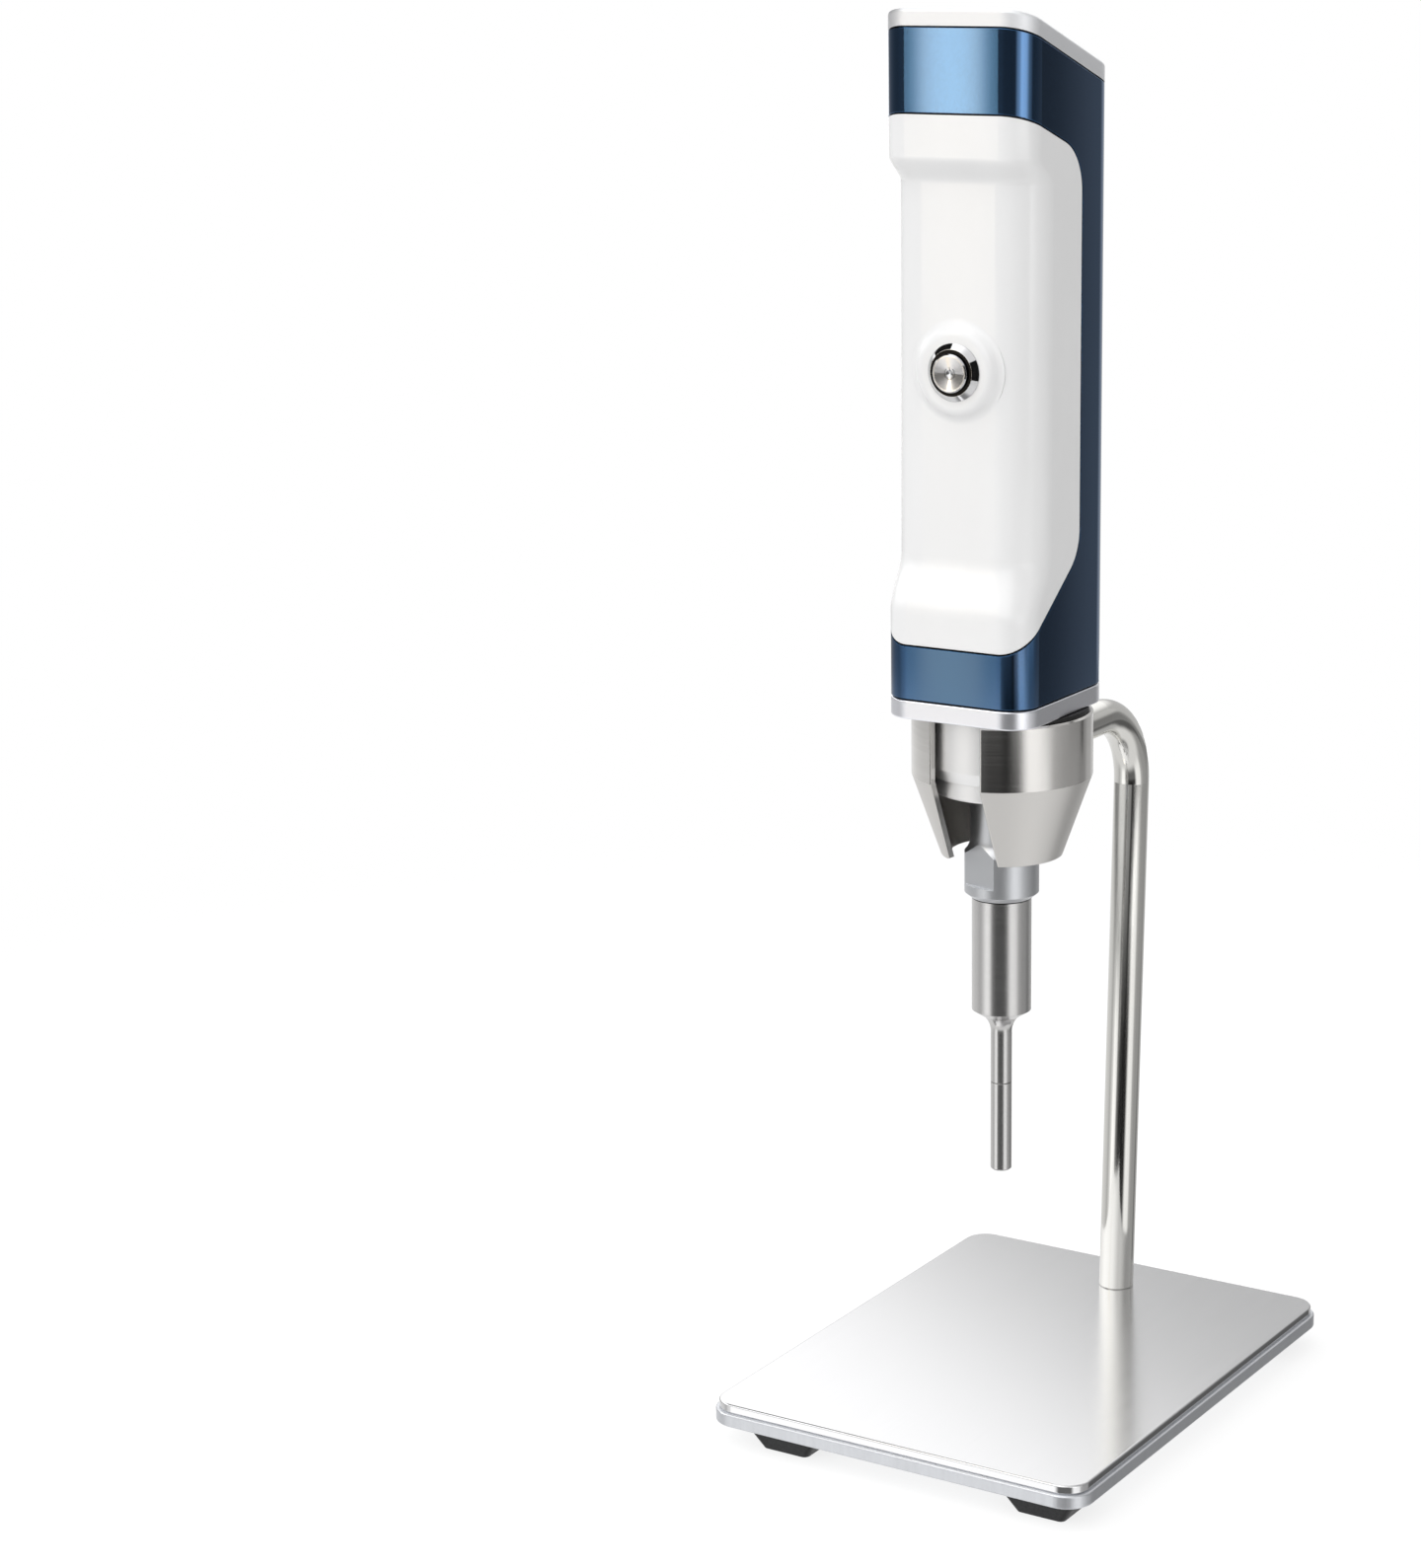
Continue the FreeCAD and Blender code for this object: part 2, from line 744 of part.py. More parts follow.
def transducer_housing():
    outer = housing_diameter/2
    bore = housing_bore/2
    throat = housing_throat/2
    body = turned([(outer - housing_chamfer_width, housing_bottom_z),
                   (outer, housing_bottom_z + housing_chamfer_height),
                   (outer, collar_z), (throat, collar_z), (throat, front_mass_z),
                   (bore, front_mass_z), (bore, housing_bottom_z)], axis_y)
    for x, y in housing_screw_places():
        body = body.cut(disc(housing_screw_diameter + 2*thread_play, housing_screw_depth, x, y,
                             collar_z - housing_screw_depth))
    return body


def housing_screw(x, y):
    seat = lip_top_z - housing_screw_head_height - fit_play
    head = disc(housing_screw_head_diameter, housing_screw_head_height, x, y, seat)
    shank = disc(housing_screw_diameter, seat - collar_z + housing_screw_depth - thread_play, x, y,
                 collar_z - housing_screw_depth + thread_play)
    return joined([head, shank])


def retaining_ring():
    outer = ring_diameter/2
    spigot = housing_bore/2 - thread_play
    bore = ring_bore/2
    edge = plate_edge_radius
    return turned([(bore, ring_bottom_z), (outer - edge, ring_bottom_z), (outer, ring_bottom_z + edge),
                   (outer, housing_bottom_z), (spigot, housing_bottom_z), (spigot, flange_z),
                   (bore, flange_z)], axis_y)


def node_seal():
    middle = (ring_bore + neck_diameter)/4
    return Part.makeTorus(middle, seal_wire/2, V(0, axis_y, ring_bottom_z + ring_height/2), up)


def wrench_cut(side):
    # Removes one side of the coupler down to a wrench flat
    cut = block(2*coupler_diameter, coupler_diameter, coupler_cylinder + coupler_flare - flat_ledge, 0,
                wrench_flats/2, coupler_z + coupler_chamfer + flat_ledge)
    cut.rotate(V(0, 0, 0), up, flat_turn_deg + side)
    cut.translate(V(0, axis_y, 0))
    return cut


def ring_profile(lines, bow=None):
    # Closed profile in the plane x = 0 from (radius, z) points; bow replaces one side by an arc
    points = [V(r, axis_y, z) for r, z in lines]
    edges = []
    for k in range(len(points)):
        start = points[k]
        end = points[(k + 1) % len(points)]
        if bow and bow[0] == k:
            edges.append(Part.Arc(start, V(bow[1], axis_y, bow[2]), end).toShape())
        else:
            edges.append(Part.makeLine(start, end))
    return Part.Face(Part.Wire(edges)).revolve(V(0, axis_y, 0), up, 360)


def front_mass():
    neck = neck_diameter/2
    coupler = coupler_diameter/2
    z1 = coupler_z + coupler_chamfer
    z2 = z1 + coupler_cylinder
    bow_r = neck + (coupler - neck)*0.28
    bow_z = z2 + coupler_flare*0.42
    flange = housing_bore/2 - thread_play
    mass = front_mass_diameter/2
    body = ring_profile([(0, coupler_z), (horn_diameter/2 + coupler_step, coupler_z), (coupler, z1), (coupler, z2),
                         (neck, z2 + coupler_flare), (neck, flange_z), (flange, flange_z), (flange, front_mass_z),
                         (mass, front_mass_z), (mass, stack_z), (0, stack_z)], (3, bow_r, bow_z))
    for side in (0, 180):
        body = body.cut(wrench_cut(side))
    body = body.cut(disc(horn_stud_diameter + 2*thread_play, horn_stud_length/2, 0, axis_y, coupler_z))
    return body.cut(disc(bolt_diameter + 2*thread_play, bolt_depth, 0, axis_y, stack_z - bolt_depth))


def horn():
    big = horn_diameter/2
    thin = tip_diameter/2
    shoulder = horn_shoulder_diameter/2
    z1 = coupler_z - horn_cylinder
    z2 = z1 - horn_shoulder_height
    z3 = z2 - horn_fillet_height
    bow_r = thin + (shoulder - thin)*0.25
    bow_z = z2 - horn_fillet_height*0.42
    body = ring_profile([(thin, horn_z), (thin, z3), (shoulder, z2), (big, z1),
                         (big, coupler_z), (0, coupler_z), (0, horn_z)], (1, bow_r, bow_z))
    body = body.cut(disc(horn_stud_diameter + 2*thread_play, horn_stud_length/2, 0, axis_y,
                         coupler_z - horn_stud_length/2))
    return body.cut(disc(tip_stud_diameter + 2*thread_play, tip_stud_length/2, 0, axis_y, horn_z))


def horn_stud():
    length = horn_stud_length - 2*thread_play
    return disc(horn_stud_diameter, length, 0, axis_y, coupler_z - length/2)


def tip():
    # A narrow groove under the joint marks where the tip unscrews
    thin = tip_diameter/2
    groove = thin - tip_joint_depth
    joint_z = horn_z - tip_joint_height
    body = turned([(0, tip_z), (thin - tip_edge, tip_z), (thin, tip_z + tip_edge), (thin, joint_z),
                   (groove, joint_z), (groove, horn_z), (0, horn_z)], axis_y)
    return body.cut(disc(tip_stud_diameter + 2*thread_play, tip_stud_length/2, 0, axis_y, horn_z - tip_stud_length/2))


def tip_stud():
    length = tip_stud_length - 2*thread_play
    return disc(tip_stud_diameter, length, 0, axis_y, horn_z - length/2)


def piezo_base(k):
    return stack_z + k*(piezo_thickness + electrode_thickness) + electrode_thickness


def back_mass_base():
    return stack_z + piezo_count*(piezo_thickness + electrode_thickness)


def piezo_ring(k):
    return tube(piezo_diameter, piezo_hole, piezo_thickness, 0, axis_y, piezo_base(k))


def electrode(k):
    # Contact disc with a solder tab to one side
    z = piezo_base(k) - electrode_thickness
    plate = disc(piezo_diameter, electrode_thickness, 0, axis_y, z)
    side = 1 if k % 2 else -1
    reach = piezo_diameter/2 + electrode_tab_length
    tab = block(reach, electrode_tab_width, electrode_thickness, side*reach/2, axis_y - electrode_tab_width/2, z)
    return joined([plate, tab]).cut(disc(piezo_hole, electrode_thickness, 0, axis_y, z))


def back_mass():
    return tube(piezo_diameter, bolt_diameter + 1, back_mass_height, 0, axis_y, back_mass_base())


def centre_bolt():
    z0 = stack_z - bolt_depth + thread_play
    z1 = back_mass_base() + back_mass_height
    shank = disc(bolt_diameter, z1 - z0, 0, axis_y, z0)
    head = disc(bolt_head_diameter, bolt_head_height, 0, axis_y, z1)
    return joined([shank, head]).cut(hexagon(bolt_socket, bolt_head_height/2, 0, axis_y, z1 + bolt_head_height/2))


def inner_frame():
    # Bent sheet: foot on the collar, upright behind the boards, tongue under the slanted cap
    sheet = frame_sheet
    top_y = frame_y - frame_top_length
    plane = lambda y: cap_under_z - slant*(y - front_y)
    drop = sheet/slant_cos
    points = [(frame_y, lip_top_z), (frame_y, plane(frame_y)), (top_y, plane(top_y)),
              (top_y, plane(top_y) - drop), (frame_y - sheet, plane(frame_y - sheet) - drop),
              (frame_y - sheet, lip_top_z + sheet), (frame_y - frame_foot_length, lip_top_z + sheet),
              (frame_y - frame_foot_length, lip_top_z)]
    wire = Part.makePolygon([V(-frame_width/2, y, z) for y, z in points + [points[0]]])
    frame = Part.Face(wire).extrude(V(frame_width, 0, 0))
    frame = frame.cut(disc(housing_throat, 4*sheet, 0, axis_y, lip_top_z - sheet))
    frame = frame.cut(disc(socket_nut_width + 4, 4*sheet, 0, frame_y + sheet, collar_z + socket_height, forward))
    for x, y in frame_screw_places():
        frame = frame.cut(disc(frame_screw_diameter + 4*thread_play, 2*sheet, x, y, lip_top_z))
    for side in (-1, 1):
        hole = slanted(disc(cap_screw_diameter + 2*thread_play, 4*sheet, 0, 0, -2*sheet))
        hole.translate(cap_screw_base(side))
        frame = frame.cut(hole)
    for x, z in spacer_places():
        frame = frame.cut(disc(spacer_screw_diameter + 2*thread_play, 2*sheet, x, frame_y, z, forward))
    return frame


def frame_screw(x, y):
    seat = lip_top_z + frame_sheet
    shank_z = lip_top_z - collar_height + 2*fit_play
    head = disc(frame_screw_head_diameter, frame_screw_head_height, x, y, seat)
    return joined([head, disc(frame_screw_diameter, seat - shank_z, x, y, shank_z)])


def spacer_places():
    x = board_width/2 - spacer_inset
    low = board_z + spacer_inset
    high = board_z + board_height - spacer_inset
    return [(-x, low), (x, low), (x, high), (-x, high)]


def driver_board():
    board = block(board_width, board_thickness, board_height, 0, board_front_y, board_z)
    for x, z in spacer_places():
        board = board.cut(disc(spacer_screw_diameter + 4*thread_play, board_thickness, x, board_front_y, z, backward))
    return board


def board_spacer(x, z):
    return tube(spacer_diameter, spacer_screw_diameter + 4*thread_play, spacer_length, x, board_back_y, z, backward)


def board_screw(x, z):
    head = disc(spacer_diameter, board_thickness, x, board_front_y, z, forward)
    length = board_thickness + spacer_length + frame_sheet
    return joined([head, disc(spacer_screw_diameter, length, x, board_front_y, z, backward)])


def transformer_core():
    # E core pair: outer frame with a middle limb
    z = board_z + core_base
    frame = block(core_width, coil_depth - 2, core_height, 0, board_front_y - coil_depth + 1, z)
    window = (core_width - 3*core_limb)/2
    for side in (-1, 1):
        x = side*(core_limb/2 + window/2)
        frame = frame.cut(block(window, coil_depth, core_height - core_limb, x, board_front_y - coil_depth, z + core_limb/2))
    return frame


def transformer_coil():
    window = (core_width - 3*core_limb)/2
    width = core_limb + 2*window - 4*thread_play
    height = core_height - core_limb - 4*thread_play
    z = board_z + core_base + core_limb/2 + 2*thread_play
    body = block(width, coil_depth, height, 0, board_front_y - coil_depth, z)
    return body.cut(block(core_limb + 4*thread_play, coil_depth - 2 + 4*thread_play, height, 0,
                          board_front_y - coil_depth + 1 - 2*thread_play, z))


def capacitor(k):
    x = (k - (capacitor_count - 1)/2)*capacitor_pitch
    return disc(capacitor_diameter, capacitor_length, x, board_front_y, board_z + capacitor_height, forward)


def heat_sink():
    z = board_z + sink_base
    web_y = board_front_y - transistor_thickness - sink_web
    sink = [block(sink_width, sink_web, sink_height, 0, web_y, z)]
    pitch = (sink_width - sink_fin_thickness)/(sink_fins - 1)
    fin_depth = sink_depth - sink_web - transistor_thickness
    for k in range(sink_fins):
        x = -sink_width/2 + sink_fin_thickness/2 + k*pitch
        sink.append(block(sink_fin_thickness, fin_depth, sink_height, x, web_y - fin_depth, z))
    return joined(sink)


def power_transistor(side):
    x = side*sink_width/4
    z = board_z + sink_base + (sink_height - transistor_height)/2
    return block(transistor_width, transistor_thickness, transistor_height, x, board_front_y - transistor_thickness, z)


def power_socket():
    z = collar_z + socket_height
    flange = disc(socket_flange_diameter, socket_flange_thickness, 0, back_y, z, backward)
    body = disc(socket_thread_diameter, socket_length, 0, back_y, z, forward)
    bore = disc(socket_bore, socket_bore_depth, 0, back_y + socket_flange_thickness, z, forward)
    pin = disc(socket_pin_diameter, socket_bore_depth, 0, back_y, z, forward)
    return joined([joined([flange, body]).cut(bore), pin])


def socket_nut():
    z = collar_z + socket_height
    y = back_y - shell_wall
    nut = hexagon(socket_nut_width, socket_nut_thickness, 0, y, z, forward)
    return nut.cut(disc(socket_thread_diameter + 2*thread_play, socket_nut_thickness, 0, y, z, forward))


def button_axis_solid(profile):
    # Solid of revolution about the button's own axis, from (radius, depth behind the boss) points
    points = [V(r, boss_y + depth, button_z) for r, depth in profile]
    face = Part.Face(Part.makePolygon(points + [points[0]]))
    return face.revolve(V(0, 0, button_z), backward, 360)


def switch_bezel():
    outer = bezel_diameter/2
    top = bezel_top_diameter/2
    thread = switch_thread_diameter/2
    bore = cap_diameter/2 + cap_play
    lip = 0.3
    floor = stem_diameter/2 + cap_play
    rear = switch_body_diameter/2 + thread_play
    return button_axis_solid([(bore, -bezel_height), (top, -bezel_height), (outer, -lip), (outer, 0), (thread, 0),
                              (thread, switch_length), (rear, switch_length), (rear, bezel_floor + 1),
                              (floor, bezel_floor + 1), (floor, bezel_floor), (bore, bezel_floor)])


def switch_nut():
    y = boss_y + nut_seat()
    nut = hexagon(switch_nut_width, switch_nut_thickness, 0, y, button_z, backward)
    return nut.cut(disc(switch_thread_diameter + 2*thread_play, switch_nut_thickness, 0, y, button_z, backward))


def nut_seat():
    return boss_height + cover_wall


def switch_body():
    start = switch_length - switch_body_length + 4
    radius = switch_body_diameter/2
    body = disc(2*radius, switch_body_length, 0, boss_y + start, button_z, backward)
    pins = [body]
    for x in (-3.0, 3.0):
        for dz in (-3.0, 3.0):
            pins.append(block(1.6, switch_pin_length, 0.6, x, boss_y + start + switch_body_length, button_z + dz))
    return joined(pins)


def switch_spring():
    # Coil round the stem, between the floor of the bezel and the back of the button disc
    start = button_disc_back() + fit_play + spring_wire/2
    end = bezel_floor - fit_play - spring_wire/2
    radius = stem_diameter/2 + spring_wire
    helix = Part.makeHelix((end - start)/spring_turns, end - start, radius)
    section = Part.Wire([Part.makeCircle(spring_wire/2, V(radius, 0, 0), V(0, 1, 0))])
    coil = Part.Wire(helix).makePipeShell([section], True, True)
    coil.rotate(V(0, 0, 0), V(1, 0, 0), -90)
    coil.translate(V(0, boss_y + start, button_z))
    return coil


def button_disc_back():
    return cap_disc_thickness - bezel_height - cap_proud


def button_cap():
    face = -bezel_height - cap_proud
    disc_radius = cap_diameter/2
    edge = 0.4
    dimple = cap_dimple_diameter/2
    back = button_disc_back()
    stem = stem_diameter/2
    stem_end = back + stem_length
    return button_axis_solid([(0, face + cap_dish_depth + edge), (dimple, face + cap_dish_depth), (disc_radius - 2*edge, face),
                              (disc_radius - edge, face), (disc_radius, face + edge), (disc_radius, back),
                              (stem, back), (stem, stem_end), (0, stem_end)])


def save_handset():
    save("body_shell", body_shell())
    save("top_cap", top_cap())
    save("cap_screws", group([cap_screw(side) for side in (-1, 1)]))
    save("grip_cover", grip_cover())
    save("cover_screws", group([cover_screw(*place) for place in cover_screw_places()]))
    save("base_collar", base_collar())
    save("transducer_housing", transducer_housing())
    save("housing_screws", group([housing_screw(x, y) for x, y in housing_screw_places()]))
    save("retaining_ring", retaining_ring())
    save("node_seal", node_seal())
    save("front_mass", front_mass())
    save("horn", horn())
    save("horn_stud", horn_stud())
    save("tip", tip())
    save("tip_stud", tip_stud())
    save("piezo_rings", group([piezo_ring(k) for k in range(piezo_count)]))
    save("electrode_plates", group([electrode(k) for k in range(piezo_count)]))
    save("back_mass", back_mass())
    save("centre_bolt", centre_bolt())


def save_inside():
    save("inner_frame", inner_frame())
    save("frame_screws", group([frame_screw(x, y) for x, y in frame_screw_places()]))
    save("driver_board", driver_board())
    save("board_spacers", group([board_spacer(x, z) for x, z in spacer_places()]))
    save("board_screws", group([board_screw(x, z) for x, z in spacer_places()]))
    save("transformer_core", transformer_core())
    save("transformer_coil", transformer_coil())
    save("capacitors", group([capacitor(k) for k in range(capacitor_count)]))
    save("heat_sink", heat_sink())
    save("power_transistors", group([power_transistor(side) for side in (-1, 1)]))
    save("power_socket", power_socket())
    save("socket_nut", socket_nut())


def save_button():
    save("switch_bezel", switch_bezel())
    save("switch_nut", switch_nut())
    save("switch_body", switch_body())
    save("switch_spring", switch_spring())
    save("button_cap", button_cap())


save_stand()
save_handset()
save_inside()
save_button()
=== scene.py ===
import json
import math

import bmesh
import bpy
from mathutils import Matrix, Vector


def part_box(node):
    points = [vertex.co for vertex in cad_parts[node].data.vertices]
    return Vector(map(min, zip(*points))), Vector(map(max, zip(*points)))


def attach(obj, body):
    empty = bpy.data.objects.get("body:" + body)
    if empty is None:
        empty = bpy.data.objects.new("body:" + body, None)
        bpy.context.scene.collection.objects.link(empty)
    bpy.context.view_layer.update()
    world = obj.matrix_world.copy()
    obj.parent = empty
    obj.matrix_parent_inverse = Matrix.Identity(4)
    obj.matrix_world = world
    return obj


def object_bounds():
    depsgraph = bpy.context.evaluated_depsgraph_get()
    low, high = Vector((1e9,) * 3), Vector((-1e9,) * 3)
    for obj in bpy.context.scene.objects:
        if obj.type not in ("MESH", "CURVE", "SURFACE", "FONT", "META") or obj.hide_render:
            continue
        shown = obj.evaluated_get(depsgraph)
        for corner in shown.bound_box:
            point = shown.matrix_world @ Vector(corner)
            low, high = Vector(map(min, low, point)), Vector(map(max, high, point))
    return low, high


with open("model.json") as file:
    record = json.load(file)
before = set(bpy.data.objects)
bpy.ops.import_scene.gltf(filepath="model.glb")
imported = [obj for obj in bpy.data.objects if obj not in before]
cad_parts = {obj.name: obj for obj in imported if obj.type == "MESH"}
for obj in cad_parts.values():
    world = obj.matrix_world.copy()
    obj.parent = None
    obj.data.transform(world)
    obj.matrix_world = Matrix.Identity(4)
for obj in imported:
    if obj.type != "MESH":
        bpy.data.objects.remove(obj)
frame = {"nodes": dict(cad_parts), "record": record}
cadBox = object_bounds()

mm = 0.001

# Handheld ultrasonic homogenizer in the cup of a bent-rod bench stand.
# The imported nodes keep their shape. This file gives them their finishes,
# and adds the sign on the push button, the floor, the light and the camera.

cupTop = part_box("holder_cup")[1].z
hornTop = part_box("horn")[1].z
buttonLow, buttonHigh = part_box("button_cap")


# Small helpers

def linearColour(hexCode):
    channels = [int(hexCode[i:i + 2], 16)/255 for i in (1, 3, 5)]
    return [c/12.92 if c <= 0.04045 else ((c + 0.055)/1.055)**2.4 for c in channels] + [1.0]


def addNode(tree, kind, settings=None, links=None):
    # settings are node attributes or input values, links are output sockets to plug into inputs
    node = tree.nodes.new("ShaderNode" + kind)
    for key, value in (settings or {}).items():
        if isinstance(key, str) and hasattr(node, key):
            setattr(node, key, value)
        else:
            node.inputs[key].default_value = value
    for key, source in (links or {}).items():
        tree.links.new(source, node.inputs[key])
    return node


def axesOf(tree, space):
    # X, Y and Z of a place on the object, of its normal, or of a direction in the room
    place = addNode(tree, "TexCoord")
    return addNode(tree, "SeparateXYZ", {}, {0: place.outputs[space]}).outputs


def addPiece(name, data):
    piece = bpy.data.objects.new(name, data)
    bpy.context.scene.collection.objects.link(piece)
    return piece


grain = {                    # shared by all finishes
    "detail": 2.0,
    "raggedness": 0.55,
    "glossFrom": 0.3,        # noise values between which the roughness goes from low to high
    "glossTo": 0.7,
    "mottleFrom": 0.35,      # and between which the colour goes from the first to the second
    "mottleTo": 0.65,
    "edgeSamples": 6,
}


def surfaceMarks(tree, feature):
    # Noise whose features measure feature = (x, y, z) millimetres, a long one makes lines along that axis
    place = addNode(tree, "TexCoord")
    scale = [1/(size*mm) for size in feature]
    stretched = addNode(tree, "Mapping", {"Scale": scale}, {"Vector": place.outputs["Object"]})
    noise = addNode(tree, "TexNoise", {"Scale": 1.0, "Detail": grain["detail"],
                                       "Roughness": grain["raggedness"]}, {"Vector": stretched.outputs[0]})
    return noise.outputs[0]


def toRoughness(tree, shader, marks, low, high):
    spread = addNode(tree, "MapRange", {"From Min": grain["glossFrom"], "From Max": grain["glossTo"],
                                        "To Min": low, "To Max": high}, {"Value": marks})
    tree.links.new(spread.outputs[0], shader.inputs["Roughness"])


def toRelief(tree, shader, marks, height, edge):
    # Relief of height mm over edges that are broken by a radius of edge mm
    links = {"Height": marks}
    if edge:
        broken = addNode(tree, "Bevel", {"samples": grain["edgeSamples"], "Radius": edge*mm})
        links["Normal"] = broken.outputs[0]
    relief = addNode(tree, "Bump", {"Strength": 1.0, "Distance": height*mm}, links)
    tree.links.new(relief.outputs[0], shader.inputs["Normal"])


def mixColour(tree, shader, marks, first, second):
    spread = addNode(tree, "MapRange", {"From Min": grain["mottleFrom"], "From Max": grain["mottleTo"]},
                     {"Value": marks})
    blend = addNode(tree, "Mix", {"data_type": "RGBA", 6: linearColour(first), 7: linearColour(second)},
                    {0: spread.outputs[0]})
    tree.links.new(blend.outputs[2], shader.inputs["Base Color"])


# Painted shade: the near-black colour and settings of the shade painted into every seam and narrow gap by
# ambient occlusion
paintedSeamShade = {
    "colour": "#050506",
    "samples": 8,
    "closedBelow": 0.22,     # share of open sky at which a seam is at its darkest
    "openAbove": 0.5,        # and from which the surface has its full colour
    "leftOver": 0.03,        # share of that colour that stays in the darkest seam
}


def paintGapShade(tree, shader, reach):
    # Painted shade: darkens the colour by ambient occlusion wherever a seam or narrow gap is closed in within
    # reach mm
    closed = addNode(tree, "AmbientOcclusion", {"samples": paintedSeamShade["samples"], "Distance": reach*mm})
    share = addNode(tree, "MapRange", {"From Min": paintedSeamShade["closedBelow"], "From Max": paintedSeamShade["openAbove"],
                                       "To Min": paintedSeamShade["leftOver"]}, {"Value": closed.outputs["AO"]})
    base = shader.inputs["Base Color"]
    shade = addNode(tree, "Mix", {"data_type": "RGBA", 6: linearColour(paintedSeamShade["colour"]),
                                  7: base.default_value}, {0: share.outputs[0]})
    if base.links:
        tree.links.new(base.links[0].from_socket, shade.inputs[7])
    tree.links.new(shade.outputs[2], base)


def finish(name, look):
    # One finish from its look: colour, roughness range, marks in mm, relief in mm, broken edge in mm
    material = bpy.data.materials.new(name)
    material.use_nodes = True
    tree = material.node_tree
    shader = tree.nodes["Principled BSDF"]
    shader.inputs["Base Color"].default_value = linearColour(look["colour"])
    shader.inputs["Metallic"].default_value = look.get("metallic", 0.0)
    marks = surfaceMarks(tree, look["marks"])
    toRoughness(tree, shader, marks, *look["roughness"])
    toRelief(tree, shader, marks, look["relief"], look.get("edge", 0.0))
    if "mottle" in look:
        second, feature = look["mottle"]
        mixColour(tree, shader, surfaceMarks(tree, feature), look["colour"], second)
    # painted shade in every seam and narrow gap within the look's reach
    if "paintedShadeReach" in look:
        paintGapShade(tree, shader, look["paintedShadeReach"])
    return material, tree, shader


# Body of the handset

shell = {
    "colour": "#3C628B",
    "metallic": 1.0,
    "roughness": (0.10, 0.13),
    "marks": (0.5, 0.5, 0.5),        # blasted grain, drawn several times coarser than the real 0.06 mm
    "relief": 0.0005,
    "edge": 0.3,
    "mottle": ("#3E658E", (26.0, 26.0, 60.0)),
    "paintedShadeReach": 2.2,
    "oxide": 0.48,
    "oxideRoughness": 0.06,
    "oxideIor": 1.76,
}


def blueAnodisedAluminium():
    # Clear oxide over dyed metal: deep blue where the room is dark, pale sky blue under the lamps
    material, tree, shader = finish("blueAnodisedAluminium", shell)
    shader.inputs["Coat Weight"].default_value = shell["oxide"]
    shader.inputs["Coat Roughness"].default_value = shell["oxideRoughness"]
    shader.inputs["Coat IOR"].default_value = shell["oxideIor"]
    return material


cap = {
    "colour": "#FBFCFE",
    "metallic": 1.0,
    "roughness": (0.52, 0.60),
    "marks": (0.6, 0.6, 0.6),        # bead blasting, coarser than the real 0.1 mm so that it shows
    "relief": 0.0025,
    "edge": 0.25,
    "paintedShadeReach": 2.2,
}


def blastedAluminium():
    # Silver that looks almost white, with a soft sheen and no sharp reflection
    return finish("blastedAluminium", cap)[0]


cover = {
    "colour": "#FAFAFA",
    "roughness": (0.17, 0.21),
    "marks": (1.1, 1.1, 1.1),        # spark texture of the mould, real depth a few micrometres
    "relief": 0.001,
    "edge": 0.35,
    "mottle": ("#F8F8F8", (18.0, 18.0, 40.0)),
    "paintedShadeReach": 2.2,
    "ior": 1.54,
    "glow": 0.04,
    "scatter": 2.0,                  # mm that light travels inside the plastic
}


def mouldedWhiteAbs():
    # Glossy white plastic: soft lamps on it, and shade that stays light because the plastic scatters
    material, tree, shader = finish("mouldedWhiteAbs", cover)
    shader.inputs["IOR"].default_value = cover["ior"]
    shader.inputs["Subsurface Weight"].default_value = cover["glow"]
    shader.inputs["Subsurface Radius"].default_value = [cover["scatter"]*mm]*3
    shader.inputs["Subsurface Scale"].default_value = 1.0
    return material


collar = {
    "colour": "#F4F5FA",
    "metallic": 1.0,
    "roughness": (0.30, 0.32),
    "marks": (2.5, 2.5, 2.5),        # faint clouds of the satin, its own grain is too fine to show
    "relief": 0.0002,
    "edge": 0.3,
    "paintedShadeReach": 2.2,
}


def satinSilverAluminium():
    # Silver anodised ring, satin, with a bright line on its broken edges
    return finish("satinSilverAluminium", collar)[0]


housing = {
    "colour": "#FBFBFB",
    "metallic": 1.0,
    "roughness": (0.44, 0.50),
    "marks": (60.0, 60.0, 0.5),      # feed lines of the lathe, drawn at 0.5 mm where the real feed is 0.15 mm
    "relief": 0.0004,
    "edge": 0.25,
    "paintedShadeReach": 1.2,
}


def turnedAluminium():
    # Fine level lines round the housing and the ring below it
    return finish("turnedAluminium", housing)[0]


# Transducer and horn

coupler = {
    "colour": "#D3D5D8",
    "metallic": 1.0,
    "roughness": (0.34, 0.42),
    "marks": (0.4, 0.4, 0.4),        # tumbling grain, coarser than the real 0.1 mm
    "relief": 0.0012,
    "edge": 0.2,
}


def tumbledTitanium():
    # Matt light grey metal, fine grain, soft edges at the wrench flats
    return finish("tumbledTitanium", coupler)[0]


hornLook = {
    "colour": "#CDCCCB",
    "metallic": 1.0,
    "roughness": (0.20, 0.24),
    "marks": (40.0, 40.0, 0.35),     # turning lines, drawn at 0.35 mm where the real feed is 0.1 mm
    "relief": 0.0004,
    "edge": 0.12,
    "paintedShadeReach": 0.6,
    "polar": 0.3,
    "jointShade": 0.45,              # mm of the horn below the coupler painted near black as the shade where no light reaches
    # near-black colour of that painted shade band
    "paintedJointShadeColour": "#1A1A1B",
}


